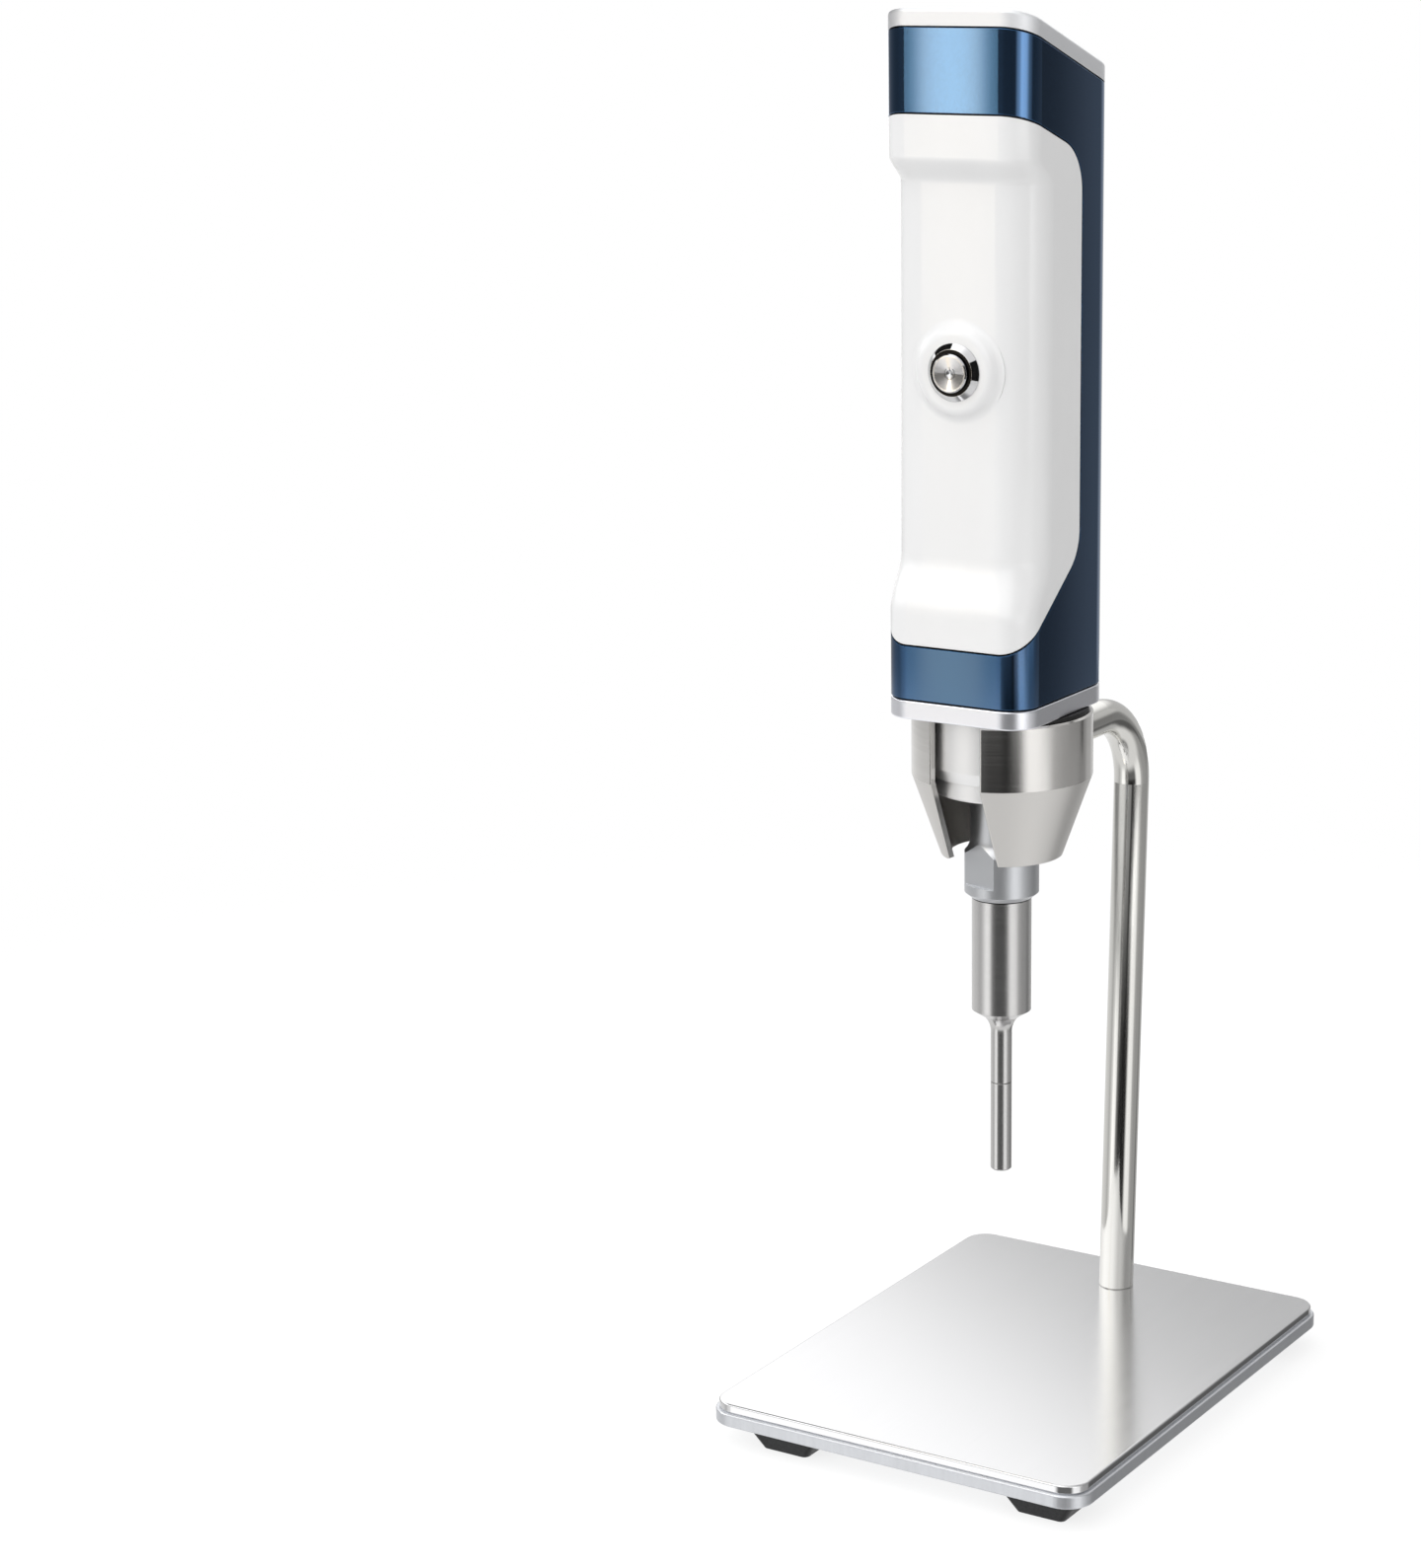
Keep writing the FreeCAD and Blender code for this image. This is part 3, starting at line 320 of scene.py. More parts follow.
def turnedTitanium():
    # Warm grey with two bright upright streaks, which the level turning lines widen, and a band of painted
    # shade at the top under the coupler
    material, tree, shader = finish("turnedTitanium", hornLook)
    shader.inputs["Anisotropic"].default_value = hornLook["polar"]
    around = addNode(tree, "Tangent", {"direction_type": "RADIAL", "axis": "Z"})
    tree.links.new(around.outputs[0], shader.inputs["Tangent"])
    # Painted shade: the top of the horn, just under the coupler, is painted near black
    height = axesOf(tree, "Object")["Z"]
    shadeFrom = hornTop - hornLook["jointShade"]*mm
    paintedShadeBand = addNode(tree, "Math", {"operation": "GREATER_THAN", 1: shadeFrom}, {0: height})
    base = shader.inputs["Base Color"]
    shade = addNode(tree, "Mix", {"data_type": "RGBA", 7: linearColour(hornLook["paintedJointShadeColour"])},
                    {0: paintedShadeBand.outputs[0], 6: base.links[0].from_socket})
    tree.links.new(shade.outputs[2], base)
    return material


# Stand

topPlate = {
    "colour": "#DEDEDF",
    "metallic": 1.0,
    "roughness": (0.16, 0.20),
    "marks": (0.45, 55.0, 20.0),     # brushing along the depth, at 0.45 mm where real lines lie 0.1 mm apart
    "relief": 0.0005,
    "edge": 0.25,
    "edgeRoughness": 0.1,
    "flatFrom": 0.8,                 # upward share of the normal above which a face is the brushed top
}


def brushedStainlessPlate():
    # Brushed face with long fine lines, and a polished bevel that flashes white or black
    material, tree, shader = finish("brushedStainlessPlate", topPlate)
    brushed = shader.inputs["Roughness"].links[0].from_socket
    upward = axesOf(tree, "Normal")["Z"]
    flat = addNode(tree, "Math", {"operation": "GREATER_THAN", 1: topPlate["flatFrom"]}, {0: upward})
    choose = addNode(tree, "Mix", {2: topPlate["edgeRoughness"]}, {0: flat.outputs[0], 3: brushed})
    tree.links.new(choose.outputs[0], shader.inputs["Roughness"])
    return material


lowerPlate = {
    "colour": "#DCDEE2",
    "metallic": 1.0,
    "roughness": (0.36, 0.44),
    "marks": (0.5, 0.5, 14.0),       # satin grain, coarser than the real 0.1 mm
    "relief": 0.001,
    "edge": 0.3,
}


def satinStainlessPlate():
    # Satin lower plate, evenly light grey
    return finish("satinStainlessPlate", lowerPlate)[0]


rod = {
    "colour": "#D9D8D4",
    "metallic": 1.0,
    "roughness": (0.08, 0.12),
    "marks": (0.5, 0.5, 40.0),       # faint draw lines along the bar, real ones are a few hundredths apart
    "relief": 0.0003,
    "edge": 0.15,
}


def polishedStainlessBar():
    # Mirror bright bar that shows the dark and light sides of the room as long bands
    return finish("polishedStainlessBar", rod)[0]


cup = {
    "colour": "#D8D6D3",
    "metallic": 1.0,
    "roughness": (0.11, 0.15),
    "marks": (50.0, 50.0, 0.5),      # turning lines, drawn at 0.5 mm where the real feed is 0.1 mm
    "relief": 0.0003,
    "edge": 0.25,
    "paintedShadeReach": 1.4,
    "cylinderHeight": 20.9,          # mm from the rim down to the cone
    "coneRoughness": 0.36,
}


def turnedStainlessCup():
    # Cylinder polished on the lathe, cone below it left satin
    material, tree, shader = finish("turnedStainlessCup", cup)
    polished = shader.inputs["Roughness"].links[0].from_socket
    height = axesOf(tree, "Object")["Z"]
    kink = cupTop - cup["cylinderHeight"]*mm
    above = addNode(tree, "Math", {"operation": "GREATER_THAN", 1: kink}, {0: height})
    choose = addNode(tree, "Mix", {2: cup["coneRoughness"]}, {0: above.outputs[0], 3: polished})
    tree.links.new(choose.outputs[0], shader.inputs["Roughness"])
    return material


footRubber = {
    "colour": "#0F1012",
    "roughness": (0.45, 0.62),
    "marks": (0.7, 0.7, 0.7),        # grain of the mould, coarser than the real 0.2 mm
    "relief": 0.02,
    "edge": 0.5,
    "mottle": ("#141518", (5.0, 5.0, 5.0)),
}


def mouldedFootRubber():
    # Near black rubber with a dull sheen on its sloping faces
    return finish("mouldedFootRubber", footRubber)[0]


ringRubber = {
    "colour": "#0E0E10",
    "roughness": (0.50, 0.65),
    "marks": (0.6, 0.6, 0.6),        # dull bloom, coarser than the real 0.2 mm
    "relief": 0.015,
    "edge": 0.4,
}


def nitrileRubber():
    # Dead black ring between the cup and the collar
    return finish("nitrileRubber", ringRubber)[0]


screws = {
    "colour": "#B4B4B6",
    "metallic": 1.0,
    "roughness": (0.22, 0.34),
    "marks": (0.4, 0.4, 0.4),        # traces of the heading die, coarser than real
    "relief": 0.004,
    "edge": 0.12,
}


def plainScrewSteel():
    # Grey stainless steel as headed, a little uneven
    return finish("plainScrewSteel", screws)[0]


# Push button

bezel = {
    "colour": "#D4D4D5",
    "metallic": 1.0,
    "roughness": (0.05, 0.08),
    "marks": (6.0, 6.0, 6.0),        # slow waves left by the polishing wheel
    "relief": 0.0004,
    "edge": 0.12,
    "paintedShadeRing": 7.25,               # mm, outer radius of the near-black ring next to the button, painted shade of the gap round it
    "paintedShadeRingColour": "#060607",
    "ringGloss": 0.06,               # acts on the painted shade ring only, the metal beside it ignores it
}


def fromButtonAxis(tree):
    # Place across the button's own axis, with its distance from that axis
    place = addNode(tree, "TexCoord")
    centred = addNode(tree, "Mapping", {"Location": (0, 0, -(buttonLow.z + buttonHigh.z)/2)},
                      {"Vector": place.outputs["Object"]})
    across = addNode(tree, "VectorMath", {"operation": "MULTIPLY", 1: (1, 0, 1)}, {0: centred.outputs[0]})
    radius = addNode(tree, "VectorMath", {"operation": "LENGTH"}, {0: across.outputs[0]})
    return across.outputs[0], radius.outputs["Value"]


def polishedBezelSteel():
    # Mirror bevel with hard black and white patches, and next to the button a matt near-black ring painted as
    # the shade of the gap round it
    material, tree, shader = finish("polishedBezelSteel", bezel)
    radius = fromButtonAxis(tree)[1]
    # Painted shade: inside the ring radius the bevel is near black and not metal, standing in for the shade
    # of the gap
    metal = addNode(tree, "Math", {"operation": "GREATER_THAN", 1: bezel["paintedShadeRing"]*mm}, {0: radius})
    blend = addNode(tree, "Mix", {"data_type": "RGBA", 6: linearColour(bezel["paintedShadeRingColour"]),
                                  7: linearColour(bezel["colour"])}, {0: metal.outputs[0]})
    tree.links.new(blend.outputs[2], shader.inputs["Base Color"])
    tree.links.new(metal.outputs[0], shader.inputs["Metallic"])
    shader.inputs["Specular IOR Level"].default_value = bezel["ringGloss"]
    return material


buttonLook = {
    "colour": "#C8C8CA",
    "metallic": 1.0,
    "roughness": (0.16, 0.20),
    "marks": (30.0, 30.0, 30.0),     # wider than the button, so its gloss is nearly even
    "relief": 0.0005,
    "edge": 0.12,
    "ringPitch": 0.30,               # spinning lines, drawn at 0.3 mm where the real ones are finer
    "ringHeight": 0.0008,
    "polar": 0.95,
}


def spunButtonSteel():
    # Spun face: light gathers in wedges that meet at the middle
    material, tree, shader = finish("spunButtonSteel", buttonLook)
    across, radius = fromButtonAxis(tree)
    perMetre = 2*math.pi/(buttonLook["ringPitch"]*mm)
    turns = addNode(tree, "Math", {"operation": "MULTIPLY", 1: perMetre}, {0: radius})
    rings = addNode(tree, "Math", {"operation": "SINE"}, {0: turns.outputs[0]})
    toRelief(tree, shader, rings.outputs[0], buttonLook["ringHeight"], buttonLook["edge"])
    tree.links.new(across, shader.inputs["Tangent"])
    shader.inputs["Anisotropic"].default_value = buttonLook["polar"]
    return material


# Parts that the shell hides, with grain and lines drawn several times coarser than real so that they show

hidden = {
    "piezo_ceramic": ("firedPiezoCeramic", {                 # dull tan ceramic
        "colour": "#A99C82", "roughness": (0.55, 0.7), "marks": (0.6, 0.6, 0.6), "relief": 0.01,
        "mottle": ("#B7AC95", (4.0, 4.0, 4.0))}),
    "contact_brass": ("rolledBrass", {                       # yellow sheet with rolling lines
        "colour": "#D6B36A", "metallic": 1.0, "roughness": (0.22, 0.34), "marks": (0.5, 18.0, 5.0),
        "relief": 0.003, "edge": 0.1}),
    "mass_steel": ("turnedCarbonSteel", {                    # darker steel with lathe lines
        "colour": "#98989A", "metallic": 1.0, "roughness": (0.28, 0.42), "marks": (40.0, 40.0, 0.5),
        "relief": 0.006, "edge": 0.2}),
    "bolt_steel": ("blackOxideSteel", {                      # black bolt with an oily sheen
        "colour": "#2A2A2C", "metallic": 1.0, "roughness": (0.35, 0.5), "marks": (0.5, 0.5, 0.5),
        "relief": 0.008, "edge": 0.2}),
    "frame_aluminium": ("rolledAluminiumSheet", {            # mill finish, faint upright lines
        "colour": "#C6C8CA", "metallic": 1.0, "roughness": (0.3, 0.42), "marks": (0.6, 0.6, 40.0),
        "relief": 0.005, "edge": 0.2}),
    "spacer_brass": ("turnedBrass", {                        # small yellow turned posts
        "colour": "#D0AD66", "metallic": 1.0, "roughness": (0.2, 0.32), "marks": (20.0, 0.4, 20.0),
        "relief": 0.003, "edge": 0.1}),
    "core_ferrite": ("sinteredFerrite", {                    # charcoal grey, slightly sparkling
        "colour": "#39393D", "roughness": (0.5, 0.68), "marks": (0.5, 0.5, 0.5), "relief": 0.012,
        "edge": 0.3, "mottle": ("#2F2F33", (3.0, 3.0, 3.0))}),
    "capacitor_sleeve": ("shrinkSleevePvc", {                # dark blue sleeve, glossy and a bit wavy
        "colour": "#1F2F5C", "roughness": (0.18, 0.3), "marks": (3.0, 3.0, 3.0), "relief": 0.03,
        "edge": 0.4}),
    "sink_aluminium": ("blackAnodisedAluminium", {           # dull black extrusion, lines along the fins
        "colour": "#232325", "metallic": 1.0, "roughness": (0.35, 0.48), "marks": (0.5, 0.5, 30.0),
        "relief": 0.006, "edge": 0.15}),
    "chip_plastic": ("mouldedEpoxy", {                       # matt black package
        "colour": "#1B1B1D", "roughness": (0.55, 0.7), "marks": (0.4, 0.4, 0.4), "relief": 0.01,
        "edge": 0.2}),
    "socket_plastic": ("mouldedBlackNylon", {                # black inlet with a fine mould grain
        "colour": "#1A1A1C", "roughness": (0.42, 0.58), "marks": (0.5, 0.5, 0.5), "relief": 0.01,
        "edge": 0.25}),
    "nickel_brass": ("nickelPlatedBrass", {                  # bright, slightly yellow plating
        "colour": "#D6D2C8", "metallic": 1.0, "roughness": (0.12, 0.2), "marks": (0.8, 0.8, 0.8),
        "relief": 0.002, "edge": 0.15}),
    "switch_plastic": ("mouldedBlackPbt", {                  # matt black contact block
        "colour": "#202022", "roughness": (0.5, 0.62), "marks": (0.5, 0.5, 0.5), "relief": 0.01,
        "edge": 0.2}),
    "spring_steel": ("drawnSpringWire", {                    # bright wire with draw lines
        "colour": "#C2C2C4", "metallic": 1.0, "roughness": (0.14, 0.24), "marks": (0.3, 3.0, 0.3),
        "relief": 0.002}),
}

board = {
    "colour": "#0F5B35",
    "roughness": (0.22, 0.34),
    "marks": (1.6, 1.6, 1.6),        # weave of the glass cloth under the lacquer
    "relief": 0.01,
    "edge": 0.1,
    "trackPitch": 2.54,
    "trackWidth": 0.12,              # in pitches
    "trackRun": 4.0,                 # in pitches, from one cross track to the next
    "trackColour": "#1C7A4A",
}


def lacqueredLaminate():
    # Green solder mask over copper tracks on a tenth inch pitch, which show as lighter lines
    material, tree, shader = finish("lacqueredLaminate", board)
    mask = linearColour(board["colour"])
    tracks = addNode(tree, "TexBrick", {"Scale": 1/(board["trackPitch"]*mm), "Row Height": 1.0,
                                        "Mortar Size": board["trackWidth"], "Brick Width": board["trackRun"],
                                        "Color1": mask, "Color2": mask,
                                        "Mortar": linearColour(board["trackColour"])})
    axes = axesOf(tree, "Object")
    upright = addNode(tree, "CombineXYZ", {}, {"X": axes["Z"], "Y": axes["X"]})
    tree.links.new(upright.outputs[0], tracks.inputs["Vector"])
    tree.links.new(tracks.outputs["Color"], shader.inputs["Base Color"])
    return material


coil = {
    "colour": "#B0622D",
    "metallic": 1.0,
    "roughness": (0.2, 0.32),
    "marks": (2.0, 2.0, 2.0),
    "relief": 0.01,
    "edge": 0.3,
    "wirePitch": 0.8,
    "wireHeight": 0.2,
    "lacquer": 0.6,
}


def enamelledCopper():
    # Turns of lacquered wire, one beside the other, amber brown and glossy
    material, tree, shader = finish("enamelledCopper", coil)
    height = axesOf(tree, "Object")["Z"]
    turns = addNode(tree, "Math", {"operation": "MULTIPLY", 1: math.pi/(coil["wirePitch"]*mm)}, {0: height})
    wave = addNode(tree, "Math", {"operation": "SINE"}, {0: turns.outputs[0]})
    wires = addNode(tree, "Math", {"operation": "ABSOLUTE"}, {0: wave.outputs[0]})
    toRelief(tree, shader, wires.outputs[0], coil["wireHeight"], coil["edge"])
    shader.inputs["Coat Weight"].default_value = coil["lacquer"]
    return material


def dressNodes():
    materials = {
        "shell_aluminium": blueAnodisedAluminium(),
        "cap_aluminium": blastedAluminium(),
        "cover_plastic": mouldedWhiteAbs(),
        "collar_aluminium": satinSilverAluminium(),
        "housing_aluminium": turnedAluminium(),
        "mass_titanium": tumbledTitanium(),
        "horn_titanium": turnedTitanium(),
        "plate_steel_brushed": brushedStainlessPlate(),
        "plate_steel_satin": satinStainlessPlate(),
        "rod_steel": polishedStainlessBar(),
        "cup_steel": turnedStainlessCup(),
        "foot_rubber": mouldedFootRubber(),
        "seal_rubber": nitrileRubber(),
        "fastener_steel": plainScrewSteel(),
        "bezel_steel": polishedBezelSteel(),
        "button_steel": spunButtonSteel(),
        "board_laminate": lacqueredLaminate(),
        "coil_copper": enamelledCopper(),
    }
    for slotName, (name, look) in hidden.items():
        materials[slotName] = finish(name, look)[0]
    for subpart in frame["record"]["subparts"]:
        node = frame["nodes"][subpart["node"]]
        for holder in node.material_slots:
            holder.material = materials[subpart["material_slot"]]


dressNodes()
print("finishes on", len(frame["nodes"]), "nodes")


# Sign on the push button

sign = {
    "radius": 1.75,          # mm, to the middle of the line
    "line": 0.16,
    "depth": 0.43,           # how far behind the rim of the dished face it lies
    "gapDegrees": 70,
    "steps": 28,
    "barFrom": 0.35,         # both ends of the bar, as shares of the radius
    "barTo": 1.15,
    "roundness": 3,
}

ink = {
    "colour": "#2B2B2D",
    "roughness": (0.5, 0.65),
    "marks": (0.2, 0.2, 0.2),
    "relief": 0.004,
}


def engravedInk():
    # Dark line left by the laser, matt against the spun steel
    return finish("engravedInk", ink)[0]


def addStroke(curve, points):
    stroke = curve.splines.new("POLY")
    stroke.points.add(len(points) - 1)
    for spot, point in zip(stroke.points, points):
        spot.co = (*point, 1.0)


def buildButtonSign():
    # Plain on/off sign: an open ring with a bar, as such push buttons carry
    curve = bpy.data.curves.new("button_sign", "CURVE")
    curve.dimensions = "3D"
    curve.bevel_depth = sign["line"]/2*mm
    curve.bevel_resolution = sign["roundness"]
    y = buttonLow.y + sign["depth"]*mm
    z = (buttonLow.z + buttonHigh.z)/2
    radius = sign["radius"]*mm
    half = math.radians(sign["gapDegrees"]/2)
    ring = []
    for k in range(sign["steps"] + 1):
        angle = half + (2*math.pi - 2*half)*k/sign["steps"]
        ring.append((radius*math.sin(angle), y, z + radius*math.cos(angle)))
    addStroke(curve, ring)
    addStroke(curve, [(0, y, z + sign["barFrom"]*radius), (0, y, z + sign["barTo"]*radius)])
    curve.materials.append(engravedInk())
    piece = addPiece("button_sign", curve)
    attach(piece, "button")


buildButtonSign()
print("button sign")


# Floor, light and camera

studio = {
    "strength": 1.0,
    # each ring is azimuth in degrees (0 looks at the front, 90 at the side with +X) and brightness
    "rings": {
        "upright": [                 # seen in the upright faces of the handset
            (-180, 0.3), (-157, 2.4), (-140, 0.30), (-60, 0.12), (-44, 0.14), (-14, 0.14), (-4, 0.10),
            (34, 0.10), (48, 1.1), (60, 2.5), (72, 2.2), (92, 0.45), (104, 0.1), (140, 0.14), (153, 0.25),
            (165, 0.27)],
        "lower": [                   # in the cup and the collar
            (-180, 0.6), (-151, 0.9), (-130, 0.9), (-85, 0.8), (-60, 0.6), (-46, 0.9), (-34, 1.5), (-18, 1.4),
            (-8, 0.3), (4, 0.06), (11, 0.01), (46, 0.01), (66, 1.2), (84, 1.15), (100, 0.5), (116, 0.4),
            (136, 0.4), (145, 0.32), (157, 0.32), (166, 0.5)],
        "rod": [                     # narrow zone that only the leaning rod shows
            (-180, 0.4), (-151, 0.35), (-90, 0.35), (-69, 0.4), (-45, 0.95), (-20, 0.95), (-6, 0.5),
            (24, 0.35), (34, 0.03), (84, 0.03), (95, 1.2), (117, 1.1), (126, 0.4), (140, 0.14), (153, 0.25),
            (165, 0.27)],
        "deep": [                    # in the horn and the tip
            (-180, 0.6), (-151, 0.9), (-130, 0.9), (-85, 0.8), (-60, 0.6), (-46, 0.9), (-34, 1.4), (-20, 1.3),
            (-9, 0.16), (46, 0.16), (64, 1.2), (84, 1.15), (100, 0.5), (116, 0.4), (136, 0.4), (145, 0.12),
            (157, 0.12), (166, 0.5)],
        "dome": [                    # soft light from above, stronger from the left
            (-180, 0.9), (-120, 1.4), (-60, 1.9), (-10, 1.7), (40, 1.0), (90, 0.5), (150, 0.6), (170, 0.8)],
    },
    "below": 0.9,                    # brightness under the object, and straight down
    "nadir": 0.3,
    "nadirZone": (-78.0, -64.0),
    # the ring that takes over, and the degrees of elevation between which it does
    "zones": [
        ("deep", (-45.0, -28.0)),
        ("lower", (-20.0, -15.5)),
        ("upright", (-13.2, -12.0)),
        ("rod", (-11.8, -11.2)),
        ("upright", (-8.6, -7.6)),
        ("dome", (3.0, 14.0)),
    ],
}


def brightnessRing(tree, azimuth, ring):
    # Brightness by azimuth, smoothed between the listed places
    spread = addNode(tree, "ValToRGB", {}, {0: azimuth})
    ramp = spread.color_ramp
    ramp.interpolation = "EASE"
    peak = max(level for place, level in ring)
    while len(ramp.elements) < len(ring):
        ramp.elements.new(0.5)
    for element, (place, level) in zip(ramp.elements, ring):
        element.position = place/360 + 0.5
    for element, (place, level) in zip(ramp.elements, ring):
        element.color = (level/peak, level/peak, level/peak, 1.0)
    return addNode(tree, "Math", {"operation": "MULTIPLY", 1: peak}, {0: spread.outputs[0]}).outputs[0]


def passOver(tree, elevation, zone, lower, upper):
    # Goes smoothly from the lower to the upper brightness across the zone
    share = addNode(tree, "MapRange", {"interpolation_type": "SMOOTHSTEP", "From Min": zone[0],
                                       "From Max": zone[1]}, {"Value": elevation})
    return addNode(tree, "Mix", {}, {0: share.outputs[0], 2: lower, 3: upper}).outputs[0]


def buildStudioLight():
    # Soft room all round, brighter and darker by azimuth in rings that lie one above the other
    world = bpy.data.worlds.new("studio")
    bpy.context.scene.world = world
    world.use_nodes = True
    tree = world.node_tree
    tree.nodes.clear()
    axes = axesOf(tree, "Generated")
    forward = addNode(tree, "Math", {"operation": "MULTIPLY", 1: -1.0}, {0: axes["Y"]})
    angle = addNode(tree, "Math", {"operation": "ARCTAN2"}, {0: axes["X"], 1: forward.outputs[0]})
    azimuth = addNode(tree, "MapRange", {"From Min": -math.pi, "From Max": math.pi},
                      {"Value": angle.outputs[0]})
    rise = addNode(tree, "Math", {"operation": "ARCSINE"}, {0: axes["Z"]})
    elevation = addNode(tree, "Math", {"operation": "MULTIPLY", 1: 180/math.pi}, {0: rise.outputs[0]})
    below = addNode(tree, "MapRange", {"interpolation_type": "SMOOTHSTEP",
                                       "From Min": studio["nadirZone"][0], "From Max": studio["nadirZone"][1],
                                       "To Min": studio["nadir"], "To Max": studio["below"]},
                    {"Value": elevation.outputs[0]})
    levels = {name: brightnessRing(tree, azimuth.outputs[0], ring) for name, ring in studio["rings"].items()}
    level = below.outputs[0]
    for name, zone in studio["zones"]:
        level = passOver(tree, elevation.outputs[0], zone, level, levels[name])
    room = addNode(tree, "Background", {"Strength": studio["strength"]}, {"Color": level})
    paper = addNode(tree, "Background", {"Color": (1, 1, 1, 1), "Strength": 1.0})
    path = addNode(tree, "LightPath")
    seen = addNode(tree, "MixShader", {}, {0: path.outputs["Is Camera Ray"], 1: room.outputs[0],
                                           2: paper.outputs[0]})
    addNode(tree, "OutputWorld", {}, {"Surface": seen.outputs[0]})


def sheetMaterial(name):
    # Empty material for the floor or for a glowing sheet
    material = bpy.data.materials.new(name)
    material.use_nodes = True
    material.node_tree.nodes.clear()
    return material, material.node_tree


def fadeOut(tree, share, shader):
    # The sheet's shader, see-through where share comes to 1
    clear = addNode(tree, "BsdfTransparent")
    both = addNode(tree, "MixShader", {}, {0: share, 1: shader, 2: clear.outputs[0]})
    addNode(tree, "OutputMaterial", {}, {"Surface": both.outputs[0]})


floor = {
    "radius": 0.75,
    "sides": 96,
    "fadeFrom": 0.30,
    "colour": "#FFFFFF",
    "ownLight": 0.80,        # share of the paper's white that doesn't depend on shadows
    "diffuse": 0.24,
}


def buildFloor():
    # Sheet of white paper that fades into the white background
    mesh = bpy.data.meshes.new("floor")
    build = bmesh.new()
    bmesh.ops.create_circle(build, cap_ends=True, radius=floor["radius"], segments=floor["sides"])
    build.to_mesh(mesh)
    build.free()
    piece = addPiece("floor", mesh)
    piece.location = (0, 0, cadBox[0].z)
    material, tree = sheetMaterial("whitePaper")
    place = addNode(tree, "TexCoord")
    distance = addNode(tree, "VectorMath", {"operation": "LENGTH"}, {0: place.outputs["Object"]})
    fade = addNode(tree, "MapRange", {"interpolation_type": "SMOOTHSTEP", "From Min": floor["fadeFrom"],
                                      "From Max": floor["radius"]}, {"Value": distance.outputs["Value"]})
    lit = addNode(tree, "BsdfDiffuse", {"Color": (floor["diffuse"],)*3 + (1,)})
    own = addNode(tree, "Emission", {"Color": linearColour(floor["colour"]), "Strength": floor["ownLight"]})
    paper = addNode(tree, "AddShader", {}, {0: lit.outputs[0], 1: own.outputs[0]})
    fadeOut(tree, fade.outputs[0], paper.outputs[0])
    mesh.materials.append(material)
    piece.visible_glossy = False
    piece.visible_diffuse = False


cards = {
    "front_card": {              # narrow lamp that the flat front of the shell shows as its bright middle
        "place": (-0.1722, -0.3545, 0.0),
        "turn": -28.6,
        "width": 0.032,
        "heights": (0.16, 0.56),
        "softEdge": 0.40,        # share of the half width over which the light fades out
        "levels": (1.5, 4.8),    # brightness at and below the first height, at and above the second
        "levelHeights": (0.22, 0.40),
        "lean": 0.0,             # metres of height that one metre to the right counts for
        "colour": "#FFF2DC",
    },
    "left_flag": {               # wide dark sheet, high on the left, that blackens the bevel's upper left
        "place": (-0.50, -0.02, 0.0),
        "turn": 90.0,
        "width": 0.90,
        "heights": (0.50, 1.20),
        "softEdge": 0.1,
        "levels": (0.01, 0.01),
        "levelHeights": (0.30, 0.40),
        "lean": 0.0,
        "colour": "#FFFFFF",
    },
    "right_flag": {              # small dark sheet close by, that blackens the right of the bevel
        "place": (0.089, -0.108, 0.0),
        "turn": 54.0,
        "width": 0.08,
        "heights": (0.30, 0.415),
        "softEdge": 0.1,
        "levels": (0.01, 0.01),
        "levelHeights": (0.30, 0.40),
        "lean": 0.0,
        "colour": "#FFFFFF",
    },
    "side_flag": {               # dark sheet that turns the right side of the shell deep blue near its corner
        "place": (0.2117, 0.3093, 0.0),
        "turn": 151.5,
        "width": 0.050,
        "heights": (0.14, 0.60),
        "softEdge": 0.9,
        "levels": (0.05, 0.05),
        "levelHeights": (0.30, 0.40),
        "lean": 0.0,
        "colour": "#FFFFFF",
    },
    "back_card": {               # large sheet at the back that the top plate shows as white turning to grey
        "place": (-0.35, 0.70, 0.0),
        "turn": 180.0,
        "width": 1.3,
        "heights": (0.10, 0.75),
        "softEdge": 0.2,
        "levels": (0.58, 1.42),
        "levelHeights": (0.24, 0.50),
        "lean": 0.5,
        "colour": "#FFFFFF",
    },
}


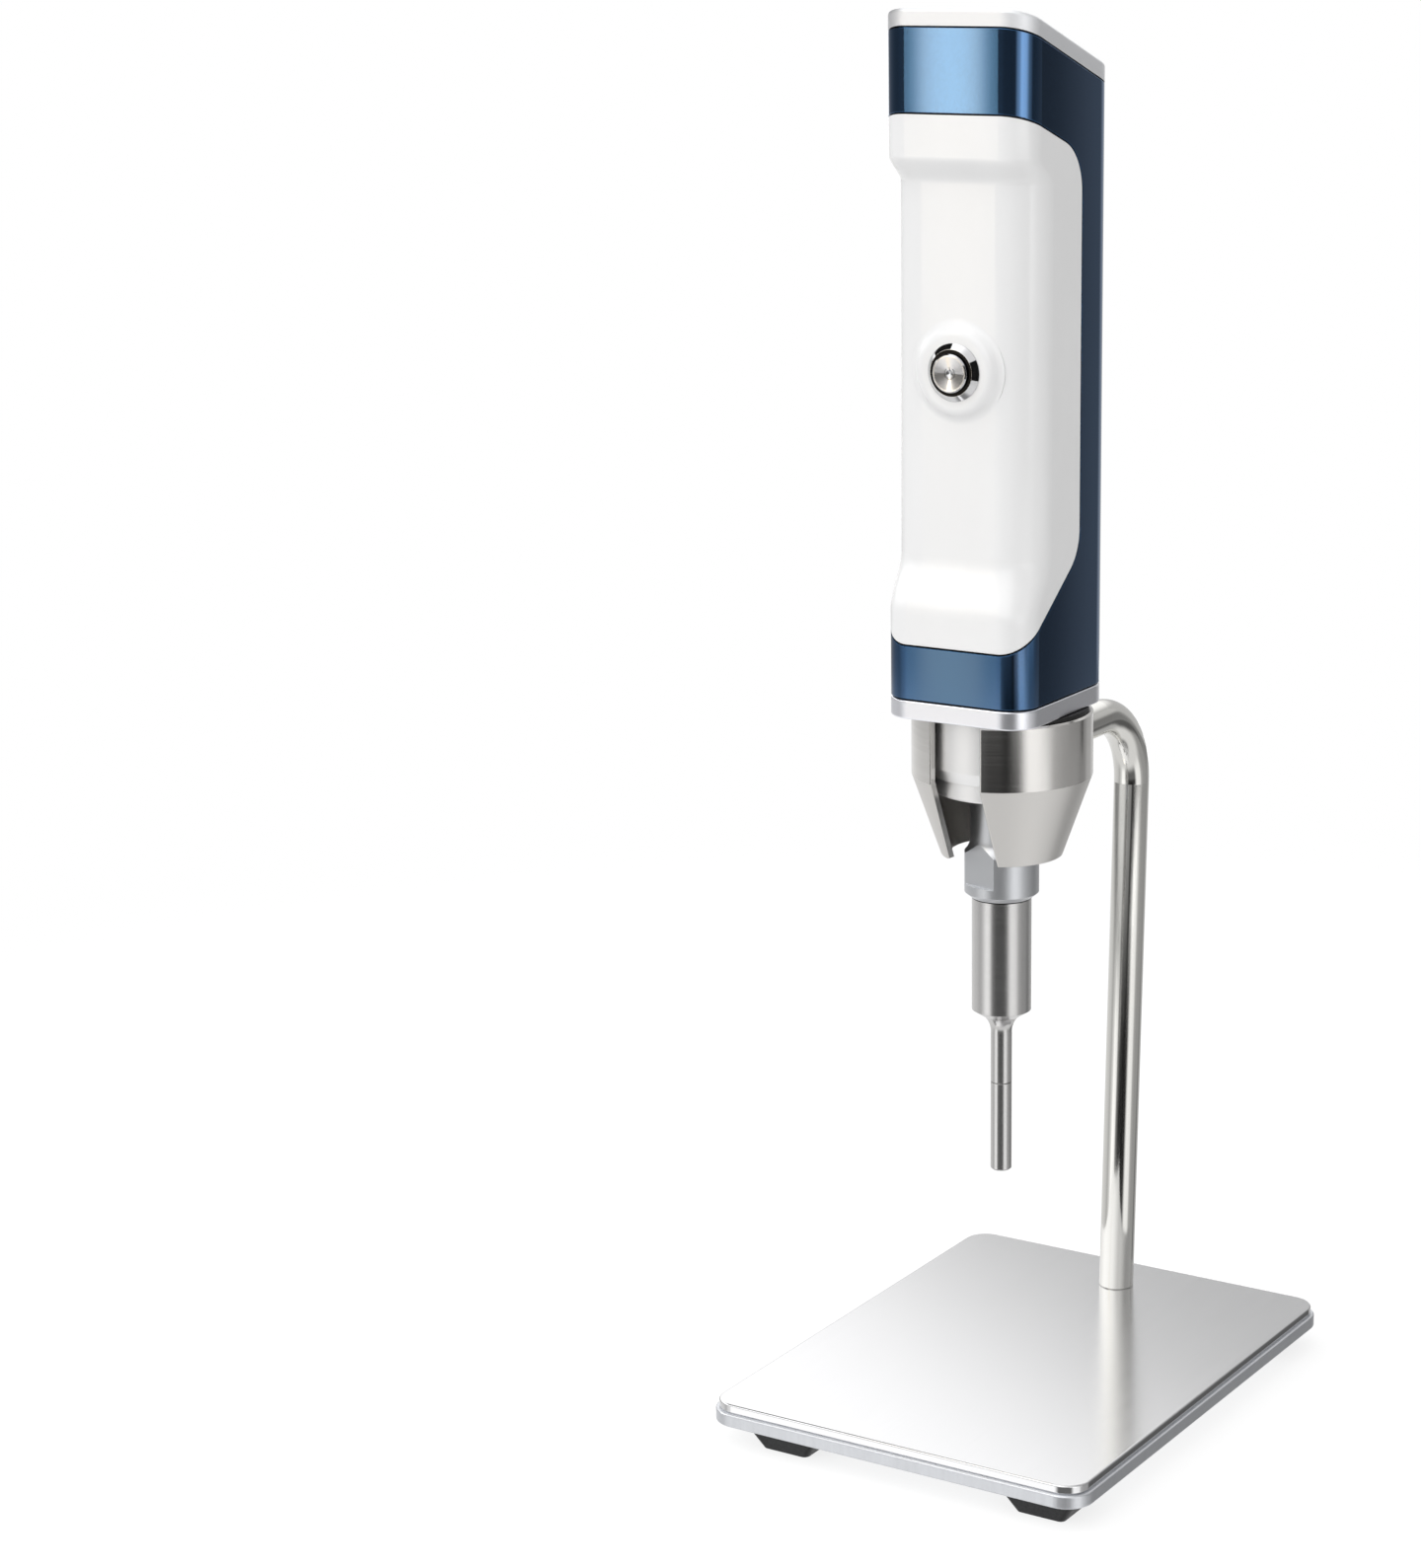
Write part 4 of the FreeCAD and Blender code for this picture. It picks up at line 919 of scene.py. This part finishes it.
def buildCard(name, card):
    # Glowing sheet that only reflections show
    half = card["width"]/2
    low, high = card["heights"]
    mesh = bpy.data.meshes.new(name)
    mesh.from_pydata([(-half, 0, low), (half, 0, low), (half, 0, high), (-half, 0, high)], [], [(0, 1, 2, 3)])
    piece = addPiece(name, mesh)
    piece.location = card["place"]
    piece.rotation_euler = (0, 0, math.radians(card["turn"]))
    material, tree = sheetMaterial(name + "Glow")
    axes = axesOf(tree, "Object")
    height = addNode(tree, "Math", {"operation": "MULTIPLY_ADD", 1: card["lean"]},
                     {0: axes["X"], 2: axes["Z"]})
    level = addNode(tree, "MapRange", {"interpolation_type": "SMOOTHSTEP",
                                       "From Min": card["levelHeights"][0],
                                       "From Max": card["levelHeights"][1],
                                       "To Min": card["levels"][0], "To Max": card["levels"][1]},
                    {"Value": height.outputs[0]})
    across = addNode(tree, "Math", {"operation": "ABSOLUTE"}, {0: axes["X"]})
    fade = addNode(tree, "MapRange", {"interpolation_type": "SMOOTHSTEP",
                                      "From Min": half*(1 - card["softEdge"]), "From Max": half},
                   {"Value": across.outputs[0]})
    glow = addNode(tree, "Emission", {"Color": linearColour(card["colour"])}, {"Strength": level.outputs[0]})
    fadeOut(tree, fade.outputs[0], glow.outputs[0])
    mesh.materials.append(material)
    piece.visible_camera = False
    piece.visible_diffuse = False
    piece.visible_shadow = False


buildStudioLight()
buildFloor()
for name, card in cards.items():
    buildCard(name, card)
print("light and floor")

view = {
    "place": (0.55677, -1.03729, 0.50492),
    "yaw": 33.23,            # degrees, turned to the left of straight ahead
    "pitch": 13.95,          # degrees, looking down
    "roll": -0.97,
    "lens": 85.12,
}


def buildCamera():
    yaw = math.radians(view["yaw"])
    pitch = math.radians(view["pitch"])
    roll = math.radians(view["roll"])
    ahead = Vector((-math.sin(yaw)*math.cos(pitch), math.cos(yaw)*math.cos(pitch), -math.sin(pitch)))
    level = Vector((math.cos(yaw), math.sin(yaw), 0))
    upright = level.cross(ahead)
    right = level*math.cos(roll) + upright*math.sin(roll)
    up = upright*math.cos(roll) - level*math.sin(roll)
    camera = addPiece("camera", bpy.data.cameras.new("camera"))
    rows = [(right[k], up[k], -ahead[k], view["place"][k]) for k in range(3)]
    camera.matrix_world = Matrix(rows + [(0, 0, 0, 1)])
    camera.data.lens = view["lens"]
    bpy.context.scene.camera = camera


buildCamera()
bpy.context.scene.view_settings.view_transform = "Standard"
print("camera")
